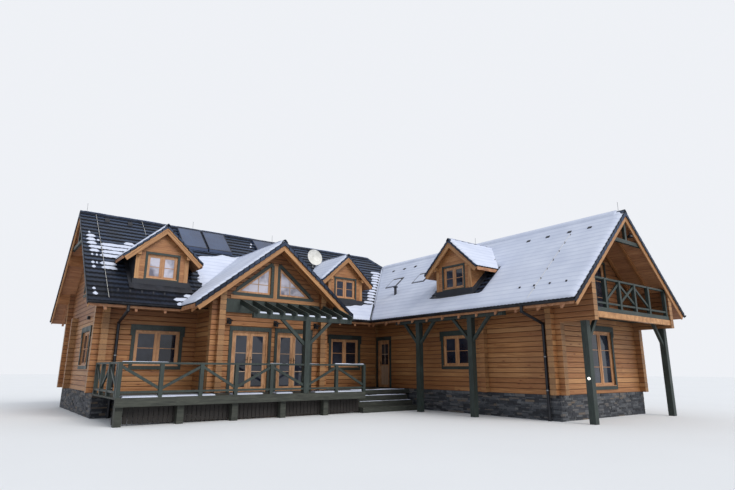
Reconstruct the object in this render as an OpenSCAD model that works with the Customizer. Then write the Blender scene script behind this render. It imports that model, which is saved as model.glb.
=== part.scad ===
// Alpine log chalet with two wings, a gabled bay, dormers, a terrace and a balcony
// Drawn from the corner where the two inner eaves meet: x along the left wing, y away from the terrace
// Heights are measured from the ground, and the finished model stands on the middle of its plan

/* [Left wing] */
// Length of the left wing from the inner eave corner to its verge
left_len = 11240; // [10400:20:13600]
// Depth of the left wing over both eaves
left_depth = 8730; // [7800:10:10600]
// Overhang of the left verge past its gable wall
left_verge = 670; // [500:10:900]

/* [Right wing] */
// Width of the right wing over both eaves
right_width = 7500; // [7000:10:9200]
// Length of the right wing from the inner eave corner to its verge
right_len = 9810; // [9000:10:11800]
// Overhang of the right verge past its gable wall, over the balcony
right_verge = 1480; // [1200:10:1800]

/* [Walls] */
// Thickness of the log walls
wall_t = 220; // [160:5:280]
// Height of one log course
log_h = 172.5; // [140:0.5:220]
// How far log ends stand out at the corners
log_end = 200; // [100:5:300]
// Height of the ground floor and of the stone base
floor_h = 800; // [500:10:1000]
// Height of the loft floor
loft_h = 3520; // [3300:10:3700]

/* [Roof] */
// Height of the tiles at the eaves
eave_h = 3700; // [3500:10:4000]
// Rise of the main roofs for each unit of run
pitch = 0.9; // [0.8:0.01:1.1]
// Overhang of the eaves past the walls
eave_over = 1130; // [900:10:1300]
// Overhang of the eave on the outer side of the right wing
outer_over = 850; // [700:10:1300]
// Depth of the tile layer, measured upright
tile_t = 60; // [40:5:100]
// Depth of the boarded roof deck, measured upright
deck_t = 140; // [100:5:220]
// Depth of the barge boards, measured upright
barge_h = 320; // [200:5:320]

/* [Bay] */
// Middle of the bay along the left wing
bay_x = 5200; // [5000:10:5600]
// Width of the bay over its walls
bay_width = 4300; // [4100:10:4800]
// How far the front wall of the bay stands in front of the eave line
bay_out = 850; // [600:10:1100]
// Half the width of the gable roof over the bay
bay_half = 3150; // [2900:10:3400]
// Rise of the roof over the bay for each unit of run
bay_pitch = 0.8; // [0.7:0.01:0.9]
// Overhang of the bay roof past the front wall of the bay
bay_verge = 650; // [400:10:900]

/* [Dormers] */
// Half the width of a dormer roof
dormer_half = 1390; // [1200:10:1500]
// Width of a dormer over its cheeks
dormer_width = 1850; // [1600:10:2000]
// Height of a dormer ridge above the eaves
dormer_rise = 2950; // [2700:10:3100]
// Distance from the eave back to the dormer fronts
dormer_face = 850; // [700:10:1000]
// Overhang of a dormer roof past its front
dormer_verge = 270; // [150:10:400]

/* [Doors and windows] */
// Height of the heads of ground floor windows and doors
head_h = 2880; // [2600:10:3000]
// Width of one pair of terrace doors over its frame
pair_width = 1380; // [1200:10:1500]
// Width of the log pier between the two pairs
pier_width = 360; // [200:10:500]
// Thickness of door leaves
leaf_t = 50; // [40:1:60]
// Clearance round a door leaf
leaf_gap = 6; // [5:0.5:8]
// Clearance between the two leaves of a pair
pair_gap = 11; // [10:0.5:14]
// Width of the green trim boards
trim_w = 115; // [100:5:160]

/* [Terrace and balcony] */
// Height of the terrace boards
deck_h = 780; // [500:10:800]
// Distance from the eave line to the front edge of the terrace
deck_out = 2250; // [2000:10:2600]
// Height of the hand rails above their floors
rail_h = 980; // [900:10:1100]
// Side of the green posts
post_w = 200; // [160:5:260]

/* [Hidden] */

timber = "peru";
timber_pale = "sandybrown";
green = "darkslategray";
slate = "dimgray";
tile = [0.16, 0.18, 0.24];
dark_metal = [0.12, 0.12, 0.13];
glass = [0.5, 0.6, 0.7];

// Main lines of the plan, and how far cuts run past the house and past a wall's faces
span = 40000;
cut_past = 200;
half_left = left_depth / 2;
half_right = right_width / 2;
left_face = -left_len + left_verge;
right_face = right_width - outer_over;
rear_face = left_depth - eave_over;
gable_face = -right_len + right_verge;
bay_left = -bay_x - bay_width / 2;
bay_right = -bay_x + bay_width / 2;
bay_face = -bay_out;
bay_verge_y = bay_face - bay_verge;

// Ends of the ridges, where hips and valley start
valley_top = [min(half_left, half_right), min(half_left, half_right)];
ridge_end_left = [min(half_left, right_width - half_left), half_left];
ridge_end_right = [half_right, min(half_right, left_depth - half_right)];
left_is_higher = half_left > half_right;
right_is_higher = half_right > half_left;

ridge_left_h = eave_h + pitch * half_left;
ridge_right_h = eave_h + pitch * half_right;
bay_ridge_h = eave_h + bay_pitch * bay_half;
bay_back = bay_pitch * bay_half / pitch;
roof_t = tile_t + deck_t;

// Log profile
log_groove = 20;
log_round = 26;

// Cross walls whose log ends show on the outside, along their wall's own run
inner_cross_wall = 5400;
left_cross_wall = -6000;

// Stone base and floors
plinth_in = 30;
plinth_t = 300;
slab_t = 200;

// Dormers: side of the roof and place along its eave
dormers = [["front", -8850], ["front", -820], ["inner", -4220], ["outer", -4220], ["rear", -5200]];
dormer_tile_t = 50;
dormer_deck_t = 130;
dormer_cheek_t = 120;
dormer_barge_h = 290;
dormer_eave_h = eave_h + dormer_rise - pitch * dormer_half;
dormer_back = dormer_rise / pitch;
dormer_win_w = 1050;
dormer_sill = 970;
dormer_win_h = 870;

// Windows and doors
frame_in = 40;
frame_t = 70;
frame_w = 70;
mullion_w = 110;
glass_t = 24;
trim_t = 28;
trim_head = 190;
trim_ear = 240;
trim_past = 50;
sill_h = floor_h + 5 * log_h;
door_frame_w = 60;
leaf_rail = 95;
leaf_foot_rail = 160;
entrance_y = [80, 910];
entrance_rail = 110;
entrance_panel_top = 1800;

// Ground floor windows of each wall: start, end, sill and head along the wall's own run
front_left_windows = [[-9450, -7930, sill_h, head_h]];
front_right_windows = [[-1340, 130, sill_h, head_h]];
inner_windows = [[3280, 4650, sill_h + 50, head_h]];
gable_windows = [[3120, 4630, 1040, head_h + 50]];
balcony_doors = [[half_right - 900, half_right + 900, loft_h, loft_h + 1950]];
left_gable_windows = [[-4200, -2750, sill_h, head_h]];
left_loft_windows = [[-half_left - 700, -half_left + 700, loft_h + 900, loft_h + 2000]];
rear_windows = [for (x = [-5200, -1900, 1400, 4700, 8000]) [x, x + 1450, sill_h, head_h]];
outer_windows = [for (y = [-6300, -2400, 1500, 5000]) [y, y + 1450, sill_h, head_h]];

// Bay triangles: distance from the middle, width at the sill and sill height
bay_tri_in = 190;
bay_tri_w = 1335;
bay_tri_sill = 4230;

// Downpipes: radius, distance of their middle from the wall and their places beside the gable walls
pipe_r = 50;
pipe_off = 95;
front_pipe_x = left_face + wall_t + 310;
rear_pipes_x = [left_face + wall_t + 100, right_face - wall_t - 250];
wing_pipes_y = gable_face + wall_t + 160;

// Terrace
deck_left = left_face - 30;
deck_right = -2000;
board_t = 45;
fascia_h = 200;
gap_to_wall = 10;
rail_post_w = 110;
rail_bar_h = 60;
rail_bar_t = 90;
rail_low = 120;
rail_diagonal_h = 90;
function spread(steps, run) = [for (d = steps) d * run / steps[len(steps) - 1]];
rail_posts = spread([0, 1135, 2315, 3435, 4665, 5985, 7255, 8490],
    deck_right - deck_left - rail_post_w);
rail_dirs = [-1, 1, -1, 1, -1, 1, -1];
side_rail_gap = 260;
side_rail_posts = spread([0, 1000, 2000, 2900], deck_out + eave_over - 2 * rail_post_w - side_rail_gap);

// Balcony
balcony_y = -right_len + 80;
balcony_log_z = 3100;
balcony_beam_h = 180;
balcony_floor_t = 140;
balcony_post_in = 400;
balcony_inner = [eave_over + wall_t, right_face - wall_t];
// The rail ends where it would meet the underside of the outer slope
balcony_rail_end = min(balcony_inner[1], right_width - (loft_h + rail_h + roof_t + 30 - eave_h) / pitch);

// Plan shift that puts the origin under the middle of the whole house
gutter_r = 75;
shift_x = -(right_width + 2 * gutter_r - left_len) / 2;
shift_y = -(left_depth + 2 * gutter_r - right_len) / 2;

// Helpers for solids drawn in section
module along_x(x0, x1)
    translate([x0, 0, 0]) rotate([90, 0, 90]) linear_extrude(x1 - x0) children();
module along_y(y0, y1)
    translate([0, y1, 0]) rotate([90, 0, 0]) linear_extrude(y1 - y0) children();
module block(a, b)
    translate(a) cube(b - a);

// Places a piece drawn against a front eave on one side of the house:
// its x runs along the eave and its y up the roof
module at_eave(side, place = 0) {
    if (side == "front") translate([place, 0, 0]) children();
    if (side == "inner") translate([0, place, 0]) rotate(-90) children();
    if (side == "outer") translate([right_width, place, 0]) rotate(90) children();
    if (side == "rear") translate([place, left_depth, 0]) rotate(180) children();
}

// Places a piece drawn on the outer face of a wall: x along the wall and y into it
module on_front() translate([0, eave_over, 0]) children();
module on_bay() translate([0, bay_face, 0]) children();
module on_right_gable() translate([0, gable_face, 0]) children();
module on_inner() translate([eave_over, 0, 0]) rotate(-90) children();
module on_left_gable() translate([left_face, 0, 0]) rotate(-90) children();
module on_rear() translate([0, rear_face, 0]) rotate(180) children();
module on_outer() translate([right_face, 0, 0]) rotate(90) children();

// Everything below one roof plane that rises from y = 0 at height z0
module below_plane(rise, z0)
    along_x(-span, span)
        polygon([[-span, z0 - rise * span], [span, z0 + rise * span], [span, z0 - rise * span]]);
module below_main(side) at_eave(side) below_plane(pitch, eave_h - roof_t);
module below_bay(dir)
    translate([-bay_x - dir * bay_half, 0, 0]) rotate(-90 * dir)
        below_plane(bay_pitch, eave_h - roof_t);

// One layer of a roof plane, rising from y = 0
module plane_layer(rise, z_top, t, run)
    along_x(-span, span)
        polygon([[0, z_top - t], [0, z_top], [run, z_top + rise * run], [run, z_top + rise * run - t]]);

// Outline of one face of stacked logs, from the bottom up
function log_face(z0, n) = concat(
    [for (i = [0:n - 1]) for (p = [
        [log_groove, 0], [log_groove * 0.3, log_round * 0.4], [0, log_round],
        [0, log_h - log_round], [log_groove * 0.3, log_h - log_round * 0.4]])
        [p[0], z0 + i * log_h + p[1]]],
    [[log_groove, z0 + n * log_h]]);
function courses(z0, z1) = ceil((z1 - z0) / log_h);
function reverse(list) = [for (i = [len(list) - 1:-1:0]) list[i]];

// Section of a log wall with grooves on its outer face, flat inside
module wall_section(z0, z1) {
    n = courses(z0, z1);
    polygon(concat(log_face(z0, n), [[wall_t, z0 + n * log_h], [wall_t, z0]]));
}
// Section of free log ends, with grooves on both faces
module log_end_section(z0, z1) {
    n = courses(z0, z1);
    inner = [for (p = reverse(log_face(z0, n))) [wall_t - p[0], p[1]]];
    polygon(concat(log_face(z0, n), inner));
}
module log_wall(x0, x1, z1, z0 = floor_h) along_x(x0, x1) wall_section(z0, z1);
module log_ends(x0, x1, z1, z0 = floor_h) along_x(x0, x1) log_end_section(z0, z1);
// Ends of a cross wall's logs that stand out of a wall, up to the eaves
module cross_wall_ends(x)
    translate([x + wall_t / 2, 0, 0]) rotate(90) log_ends(-log_end, 1, eave_h - roof_t);

// Holes for a list of windows in a wall
module window_holes(list)
    for (w = list) block([w[0], -cut_past, w[2]], [w[1], wall_t + cut_past, w[3]]);

// Plan of the house inside its outer wall faces, with and without the bay
function plan_with_bay(i) = [
    [left_face + i, eave_over + i], [bay_left + i, eave_over + i], [bay_left + i, bay_face + i],
    [bay_right - i, bay_face + i], [bay_right - i, eave_over + i], [eave_over + i, eave_over + i],
    [eave_over + i, gable_face + i], [right_face - i, gable_face + i],
    [right_face - i, rear_face - i], [left_face + i, rear_face - i]];
function plan_without_bay(i) = [
    [left_face + i, eave_over + i], [eave_over + i, eave_over + i],
    [eave_over + i, gable_face + i], [right_face - i, gable_face + i],
    [right_face - i, rear_face - i], [left_face + i, rear_face - i]];

// Plans of the four main roof planes, from the verge line given
function plan_front(verge) = concat(
    [[verge, 0], [0, 0]], left_is_higher ? [valley_top] : [], [ridge_end_left, [verge, half_left]]);
function plan_rear(verge) = concat(
    [[verge, half_left], ridge_end_left], right_is_higher ? [ridge_end_right] : [],
    [[right_width, left_depth], [verge, left_depth]]);
function plan_inner(verge) = concat(
    [[0, 0], [0, verge], [half_right, verge], ridge_end_right], right_is_higher ? [valley_top] : []);
function plan_outer(verge) = concat(
    [[half_right, verge], [right_width, verge], [right_width, left_depth]],
    left_is_higher ? [ridge_end_left] : [], [ridge_end_right]);

barge_t = 50;
verge_in = 25;
board_back = verge_in + barge_t;

// Stone base and floors
module plinth()
    color(slate) linear_extrude(floor_h) difference() {
        polygon(plan_with_bay(plinth_in));
        polygon(plan_with_bay(plinth_in + plinth_t));
    }
module ground_floor()
    color(timber_pale) translate([0, 0, floor_h - slab_t]) linear_extrude(slab_t)
        polygon(plan_with_bay(plinth_in + plinth_t));
module loft_floor()
    color(timber_pale) translate([0, 0, loft_h - slab_t]) linear_extrude(slab_t)
        polygon(plan_without_bay(wall_t));

// Log walls
module front_wall_left()
    color(timber) intersection() {
        on_front() difference() {
            union() {
                log_wall(left_face + wall_t, bay_left, ridge_left_h);
                log_ends(left_face - log_end, left_face, ridge_left_h);
            }
            window_holes(front_left_windows);
        }
        below_main("front");
    }
module front_wall_right()
    color(timber) intersection() {
        union() {
            on_front() difference() {
                log_wall(bay_right, eave_over + wall_t, ridge_left_h);
                window_holes(front_right_windows);
            }
            on_inner() log_wall(-eave_over, -entrance_y[1], ridge_left_h);
        }
        union() {
            below_main("front");
            below_main("inner");
        }
    }
module left_gable_wall()
    color(timber) intersection() {
        on_left_gable() difference() {
            union() {
                log_wall(-rear_face, -eave_over, ridge_left_h);
                log_ends(-rear_face - log_end, -rear_face, ridge_left_h);
                log_ends(-eave_over, -eave_over + log_end, ridge_left_h);
                cross_wall_ends(left_cross_wall);
            }
            window_holes(left_gable_windows);
            window_holes(left_loft_windows);
        }
        below_main("front");
        below_main("rear");
    }
module rear_wall()
    color(timber) intersection() {
        on_rear() difference() {
            union() {
                log_wall(-right_face + wall_t, -left_face - wall_t, ridge_left_h);
                log_ends(-right_face - log_end, -right_face, ridge_left_h);
                log_ends(-left_face, -left_face + log_end, ridge_left_h);
            }
            window_holes(rear_windows);
        }
        below_main("rear");
        below_main("outer");
    }
module outer_wall()
    color(timber) intersection() {
        on_outer() difference() {
            union() {
                log_wall(gable_face, rear_face, ridge_left_h);
                log_ends(gable_face - log_end, gable_face, ridge_left_h);
                log_ends(rear_face, rear_face + log_end, ridge_left_h);
            }
            window_holes(outer_windows);
        }
        below_main("outer");
        below_main("rear");
    }
module right_gable_wall()
    color(timber) intersection() {
        on_right_gable() difference() {
            union() {
                log_wall(eave_over + wall_t, right_face - wall_t, ridge_right_h);
                log_ends(eave_over - log_end, eave_over, ridge_right_h);
                log_ends(right_face, right_face + log_end, ridge_right_h);
            }
            window_holes(gable_windows);
            window_holes(balcony_doors);
        }
        below_main("inner");
        below_main("outer");
    }
module inner_wall()
    color(timber) intersection() {
        on_inner() difference() {
            union() {
                log_wall(-entrance_y[0], -gable_face, ridge_left_h);
                log_ends(-gable_face, -gable_face + log_end, ridge_left_h);
                cross_wall_ends(inner_cross_wall);
            }
            window_holes(inner_windows);
        }
        below_main("inner");
    }
module inner_wall_over_door()
    color(timber) intersection() {
        on_inner() difference() {
            log_wall(-entrance_y[1], -entrance_y[0], ridge_left_h);
            block([-entrance_y[1] - 1, -1, 0], [-entrance_y[0] + 1, wall_t + 1, head_h]);
        }
        below_main("inner");
    }

// Walls of the bay
module bay_side_walls()
    color(timber) intersection() {
        union() {
            translate([bay_left, 0, 0]) rotate(-90) bay_side(1);
            translate([bay_right, 0, 0]) rotate(90) bay_side(-1);
        }
        union() {
            intersection() {
                below_bay(1);
                below_bay(-1);
            }
            below_main("front");
        }
    }
module bay_side(dir) {
    back = -eave_over - wall_t;
    x0 = dir > 0 ? back : bay_face;
    x1 = dir > 0 ? -bay_face : -back;
    log_wall(x0, x1, bay_ridge_h);
    log_ends(dir > 0 ? x1 : x0 - log_end, dir > 0 ? x1 + log_end : x0, bay_ridge_h);
}
module bay_piers()
    color(timber) on_bay() difference() {
        log_wall(bay_left + wall_t, bay_right - wall_t, head_h);
        bay_door_holes();
        block([-span, -1, head_h], [span, wall_t + 1, span]);
    }
module bay_door_holes()
    for (x = bay_doors) block([x, -1, 0], [x + pair_width, wall_t + 1, head_h]);
bay_doors = [-bay_x - pier_width / 2 - pair_width, -bay_x + pier_width / 2];
module bay_gable_wall()
    color(timber) intersection() {
        on_bay() difference() {
            union() {
                log_wall(bay_left + wall_t, bay_right - wall_t, bay_ridge_h);
                log_ends(bay_left - log_end, bay_left, bay_ridge_h);
                log_ends(bay_right, bay_right + log_end, bay_ridge_h);
            }
            block([bay_left + 1, -1, 0], [bay_right - 1, wall_t + 1, head_h]);
            for (dir = [-1, 1]) bay_triangle(dir, 0, -1, wall_t + 1);
        }
        below_bay(1);
        below_bay(-1);
    }
// Right-angled triangle beside the middle post, inset evenly, from one depth to another
module bay_triangle(dir, inset, y0, y1) {
    w = bay_tri_w;
    h = bay_tri_w * bay_pitch;
    r = w * h / (w + h + sqrt(w * w + h * h));
    k = (r - inset) / r;
    translate([-bay_x + dir * (bay_tri_in + r), 0, bay_tri_sill + r])
        along_y(y0, y1)
            polygon([for (p = [[-r, -r], [w - r, -r], [-r, h - r]]) [dir * k * p[0], k * p[1]]]);
}
module balcony_side_walls()
    color(timber) intersection() {
        for (x = [eave_over, right_face])
            translate([x, 0, 0]) rotate(x == eave_over ? -90 : 90)
                difference() {
                    log_ends(x == eave_over ? -gable_face + log_end : balcony_y,
                        x == eave_over ? -balcony_y : gable_face - log_end, ridge_right_h);
                    block([-span, -1, 0], [span, wall_t + 1, balcony_log_z]);
                }
        below_main("inner");
        below_main("outer");
    }

// Main roof planes: the tiles run to the verge, the boarded deck stops behind the barge boards
module main_plane(side, plan, z_top, t, run)
    intersection() {
        at_eave(side) plane_layer(pitch, z_top, t, run);
        linear_extrude(span) polygon(plan);
    }
module bay_plan(front)
    polygon([[-bay_x - bay_half, front], [-bay_x + bay_half, front], [-bay_x + bay_half, 0],
        [-bay_x, bay_back], [-bay_x - bay_half, 0]]);
module dormer_openings(side)
    for (d = dormers) if (d[0] == side) at_eave(side, d[1])
        block([-dormer_width / 2 + dormer_cheek_t, dormer_face + dormer_cheek_t, 0],
            [dormer_width / 2 - dormer_cheek_t, dormer_hole_back, span]);
dormer_hole_back = dormer_back - (dormer_width / 2) - 100;
module skylight_openings()
    for (s = skylight_list) block([s[0], s[1], 0], [s[2], s[3], span]);
skylight_list = [[1880, 500, 2450, 1280], [1880, -1450, 2450, -630]];

module roof_tiles_front()
    color(tile) difference() {
        main_plane("front", plan_front(-left_len), eave_h, tile_t, half_left);
        linear_extrude(span) bay_plan(0);
        dormer_openings("front");
    }
module roof_tiles_rear()
    color(tile) difference() {
        main_plane("rear", plan_rear(-left_len), eave_h, tile_t, max(half_left, half_right));
        dormer_openings("rear");
    }
module roof_tiles_inner()
    color(tile) difference() {
        main_plane("inner", plan_inner(-right_len), eave_h, tile_t, half_right);
        dormer_openings("inner");
        skylight_openings();
    }
module roof_tiles_outer()
    color(tile) difference() {
        main_plane("outer", plan_outer(-right_len), eave_h, tile_t, max(half_left, half_right));
        dormer_openings("outer");
    }
module roof_deck_left_wing()
    color(timber_pale) difference() {
        union() {
            main_plane("front", plan_front(-left_len + board_back), eave_h - tile_t, deck_t, half_left);
            main_plane("rear", plan_rear(-left_len + board_back), eave_h - tile_t, deck_t,
                max(half_left, half_right));
        }
        linear_extrude(span) bay_plan(0);
        dormer_openings("front");
        dormer_openings("rear");
    }
module roof_deck_right_wing()
    color(timber_pale) difference() {
        union() {
            main_plane("inner", plan_inner(-right_len + board_back), eave_h - tile_t, deck_t, half_right);
            main_plane("outer", plan_outer(-right_len + board_back), eave_h - tile_t, deck_t,
                max(half_left, half_right));
        }
        dormer_openings("inner");
        dormer_openings("outer");
        skylight_openings();
    }

// Gable roof over the bay
module bay_slopes(front, z_top, t)
    intersection() {
        for (dir = [-1, 1])
            translate([-bay_x - dir * bay_half, 0, 0]) rotate(-90 * dir)
                plane_layer(bay_pitch, z_top, t, bay_half);
        linear_extrude(span) bay_plan(front);
    }
module bay_roof_tiles() color(tile) bay_slopes(bay_verge_y, eave_h, tile_t);
module bay_roof_deck()
    color(timber_pale) bay_slopes(bay_verge_y + board_back, eave_h - tile_t, deck_t);

// Dormers, each drawn against a front eave
module at_dormers() for (d = dormers) at_eave(d[0], d[1]) children();
module dormer_slopes(front, z_top, t)
    difference() {
        intersection() {
            for (dir = [-1, 1])
                translate([-dir * dormer_half, 0, 0]) rotate(-90 * dir)
                    plane_layer(pitch, z_top, t, dormer_half);
            linear_extrude(span)
                polygon([[-dormer_half, front], [dormer_half, front],
                    [dormer_half, dormer_back], [-dormer_half, dormer_back]]);
        }
        below_plane(pitch, eave_h);
    }
module dormer_roof_tiles()
    color(tile) at_dormers() dormer_slopes(dormer_face - dormer_verge, dormer_eave_h, dormer_tile_t);
module dormer_roof_decks()
    color(timber_pale) at_dormers()
        dormer_slopes(dormer_face - dormer_verge + board_back,
            dormer_eave_h - dormer_tile_t, dormer_deck_t);
module dormer_walls()
    color(timber) at_dormers() difference() {
        intersection() {
            translate([-dormer_width / 2, dormer_face, 0])
                cube([dormer_width, dormer_back - dormer_face, span]);
            intersection_for (dir = [-1, 1])
                translate([-dir * dormer_half, 0, 0]) rotate(-90 * dir)
                    below_plane(pitch, dormer_eave_h - dormer_tile_t - dormer_deck_t);
        }
        below_plane(pitch, eave_h);
        block([-dormer_width / 2 + dormer_cheek_t, dormer_face + dormer_cheek_t, 0],
            [dormer_width / 2 - dormer_cheek_t, span, span]);
        block([-dormer_win_w / 2, 0, eave_h + dormer_sill],
            [dormer_win_w / 2, span, eave_h + dormer_sill + dormer_win_h]);
    }

// Ridge caps lie on the tiles along both main ridges
cap_half = 160;
module ridge_cap_section(z)
    polygon([[-cap_half, z - cap_half * pitch], [-cap_half, z - cap_half * pitch + 40],
        [-cap_half / 2, z + 10], [-cap_half / 5, z + 28], [cap_half / 5, z + 28], [cap_half / 2, z + 10],
        [cap_half, z - cap_half * pitch + 40], [cap_half, z - cap_half * pitch], [0, z]]);
module ridge_caps()
    color(tile) {
        translate([0, half_left, 0]) along_x(-left_len, ridge_end_left[0] - cap_half)
            ridge_cap_section(ridge_left_h);
        translate([half_right, 0, 0]) along_y(-right_len, ridge_end_right[1] - cap_half)
            ridge_cap_section(ridge_right_h);
    }

// Barge boards set back under the tiles of the verge, two to a gable with a hair line at the top
// and their feet cut square
module barge_pair(half, rise, z_eave, front, depth) {
    foot = depth * rise / (1 + rise * rise);
    for (dir = [-1, 1]) along_y(front + verge_in, front + board_back)
        polygon([[dir * half, z_eave], [dir, z_eave + rise * (half - 1)],
            [dir, z_eave + rise * (half - 1) - depth],
            [dir * (half - foot), z_eave + rise * foot - depth]]);
}
module barge_boards()
    color(timber_pale) {
        translate([half_right, 0, 0])
            barge_pair(half_right, pitch, eave_h - tile_t, -right_len, barge_h);
        translate([0, half_left, 0]) rotate(-90)
            barge_pair(half_left, pitch, eave_h - tile_t, -left_len, barge_h);
        translate([-bay_x, 0, 0])
            barge_pair(bay_half, bay_pitch, eave_h - tile_t, bay_verge_y, barge_h - 20);
        at_dormers() barge_pair(dormer_half, pitch, dormer_eave_h - dormer_tile_t,
            dormer_face - dormer_verge, dormer_barge_h);
    }

// Gutters hang on the deck edges, downpipes run to the ground
module gutter(side, x0, x1)
    at_eave(side) translate([0, -gutter_r, eave_h - tile_t]) along_x(x0, x1) difference() {
        circle(r = gutter_r, $fn = 32);
        circle(r = gutter_r - 6, $fn = 32);
        translate([-gutter_r, 0]) square(2 * gutter_r);
    }
module gutters()
    color(dark_metal) {
        gutter("front", -left_len, -bay_x - bay_half - 5);
        gutter("front", -bay_x + bay_half + 5, -2 * gutter_r - 5);
        gutter("inner", 5, right_len);
        gutter("rear", -right_width + 5, left_len);
        gutter("outer", -right_len, left_depth - 5);
    }
pipe_bend_h = 3080;
pipe_outlet = 160;
pipe_collar_r = pipe_r + 6;
module downpipe(x, face)
    translate([x, face - pipe_off, 0]) {
        cylinder(r = pipe_r, h = pipe_bend_h, $fn = 24);
        translate([0, 0, pipe_bend_h]) swan_neck(face - pipe_off + gutter_r);
    }
// Bent top of a downpipe that reaches from the wall out to the gutter
module swan_neck(reach) {
    rise = eave_h - tile_t - gutter_r - pipe_bend_h - pipe_outlet;
    sphere(r = pipe_collar_r, $fn = 24);
    rotate([atan2(reach, rise), 0, 0])
        cylinder(r = pipe_r, h = sqrt(reach * reach + rise * rise), $fn = 24);
    translate([0, -reach, rise]) {
        sphere(r = pipe_collar_r, $fn = 24);
        cylinder(r = pipe_r, h = pipe_outlet, $fn = 24);
    }
}
module downpipes()
    color(dark_metal) {
        at_eave("front") downpipe(front_pipe_x, eave_over);
        at_eave("inner") downpipe(-wing_pipes_y, eave_over);
        for (x = rear_pipes_x) at_eave("rear") downpipe(-x, eave_over);
        at_eave("outer") downpipe(wing_pipes_y, outer_over);
    }

// Window frame with a middle post, and its glass
module window_frame(w, lights = 2)
    difference() {
        block([w[0], frame_in, w[2]], [w[1], frame_in + frame_t, w[3]]);
        window_lights(w, lights) block([0, frame_in - 1, 0], [$light_w, frame_in + frame_t + 1, $light_h]);
    }
module window_lights(w, lights) {
    $light_w = (w[1] - w[0] - 2 * frame_w - (lights - 1) * mullion_w) / lights;
    $light_h = w[3] - w[2] - 2 * frame_w;
    for (i = [0:lights - 1])
        translate([w[0] + frame_w + i * ($light_w + mullion_w), 0, w[2] + frame_w]) children();
}
module window_pane(w, lights = 2)
    window_lights(w, lights)
        block([0, frame_in + frame_t / 2 - glass_t / 2, 0],
            [$light_w, frame_in + frame_t / 2 + glass_t / 2, $light_h]);
dormer_window = [-dormer_win_w / 2, dormer_win_w / 2, eave_h + dormer_sill,
    eave_h + dormer_sill + dormer_win_h];
module each_window() {
    on_front() for ($w = concat(front_left_windows, front_right_windows)) children();
    on_inner() for ($w = inner_windows) children();
    on_right_gable() for ($w = concat(gable_windows, balcony_doors)) children();
    on_left_gable() for ($w = concat(left_gable_windows, left_loft_windows)) children();
    on_rear() for ($w = rear_windows) children();
    on_outer() for ($w = outer_windows) children();
    at_dormers() translate([0, dormer_face, 0]) for ($w = [dormer_window]) children();
}
module window_frames()
    color(timber_pale) {
        each_window() window_frame($w);
        on_bay() for (dir = [-1, 1]) difference() {
            bay_triangle(dir, 0, frame_in, frame_in + frame_t);
            bay_triangle(dir, frame_w, frame_in - 1, frame_in + frame_t + 1);
        }
    }
module window_glass()
    color(glass) {
        each_window() window_pane($w);
        on_bay() for (dir = [-1, 1])
            bay_triangle(dir, frame_w, frame_in + frame_t / 2 - glass_t / 2,
                frame_in + frame_t / 2 + glass_t / 2);
        for (s = skylight_list) skylight_pane(s);
    }

// Trim boards on the wall round an opening, with a wider head piece; doors have no bottom board
module trim(w, bottom = true)
    difference() {
        union() {
            block([w[0] - trim_w, -trim_t, w[2] - (bottom ? trim_w : 0)],
                [w[1] + trim_w, 0, w[3] + trim_head]);
            block([w[0] - trim_w - trim_past, -trim_t - 12, w[3] + 40],
                [w[1] + trim_w + trim_past, 0, w[3] + trim_head]);
            for (x = [w[0] - trim_w - trim_past, w[1] + trim_w - trim_past])
                block([x, -trim_t - 12, w[3] - trim_ear + 60],
                    [x + 2 * trim_past, 0, w[3] + trim_head]);
        }
        block([w[0], -2 * trim_t, w[2] - (bottom ? 0 : 1)], [w[1], 1, w[3]]);
    }
module plain_trim(w, side_w)
    difference() {
        block([w[0] - side_w, -trim_t, w[2] - side_w], [w[1] + side_w, 0, w[3] + side_w]);
        block([w[0], -2 * trim_t, w[2]], [w[1], 1, w[3]]);
    }
module window_trims()
    color(green) {
        on_front() for (w = concat(front_left_windows, front_right_windows)) trim(w);
        on_inner() for (w = inner_windows) trim(w);
        on_right_gable() for (w = gable_windows) trim(w);
        on_left_gable() for (w = left_gable_windows) trim(w);
        on_left_gable() for (w = left_loft_windows) trim(w);
        on_right_gable() for (w = balcony_doors) plain_trim([w[0], w[1], w[2] + 80, w[3]], 80);
        on_rear() for (w = rear_windows) trim(w);
        on_outer() for (w = outer_windows) trim(w);
        at_dormers() translate([0, dormer_face, 0]) plain_trim(dormer_window, 80);
        on_bay() for (x = bay_doors) plain_door_trim(x, x + pair_width);
        on_inner() plain_door_trim(-entrance_y[1], -entrance_y[0]);
        on_bay() for (dir = [-1, 1]) difference() {
            bay_triangle(dir, -70, -trim_t, 0);
            bay_triangle(dir, 0, -2 * trim_t, 1);
        }
    }
module plain_door_trim(x0, x1)
    difference() {
        block([x0 - 110, -trim_t, floor_h], [x1 + 110, 0, head_h + 150]);
        block([x0, -2 * trim_t, floor_h - 1], [x1, 1, head_h]);
    }

// Door frames: two posts and a head
module door_frame(x0, x1)
    difference() {
        block([x0, frame_in, floor_h], [x1, frame_in + frame_t, head_h]);
        block([x0 + door_frame_w, frame_in - 1, floor_h - 1],
            [x1 - door_frame_w, frame_in + frame_t + 1, head_h - door_frame_w]);
    }
module door_frames()
    color(timber_pale) {
        on_bay() for (x = bay_doors) door_frame(x, x + pair_width);
        on_inner() door_frame(-entrance_y[1], -entrance_y[0]);
    }

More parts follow.
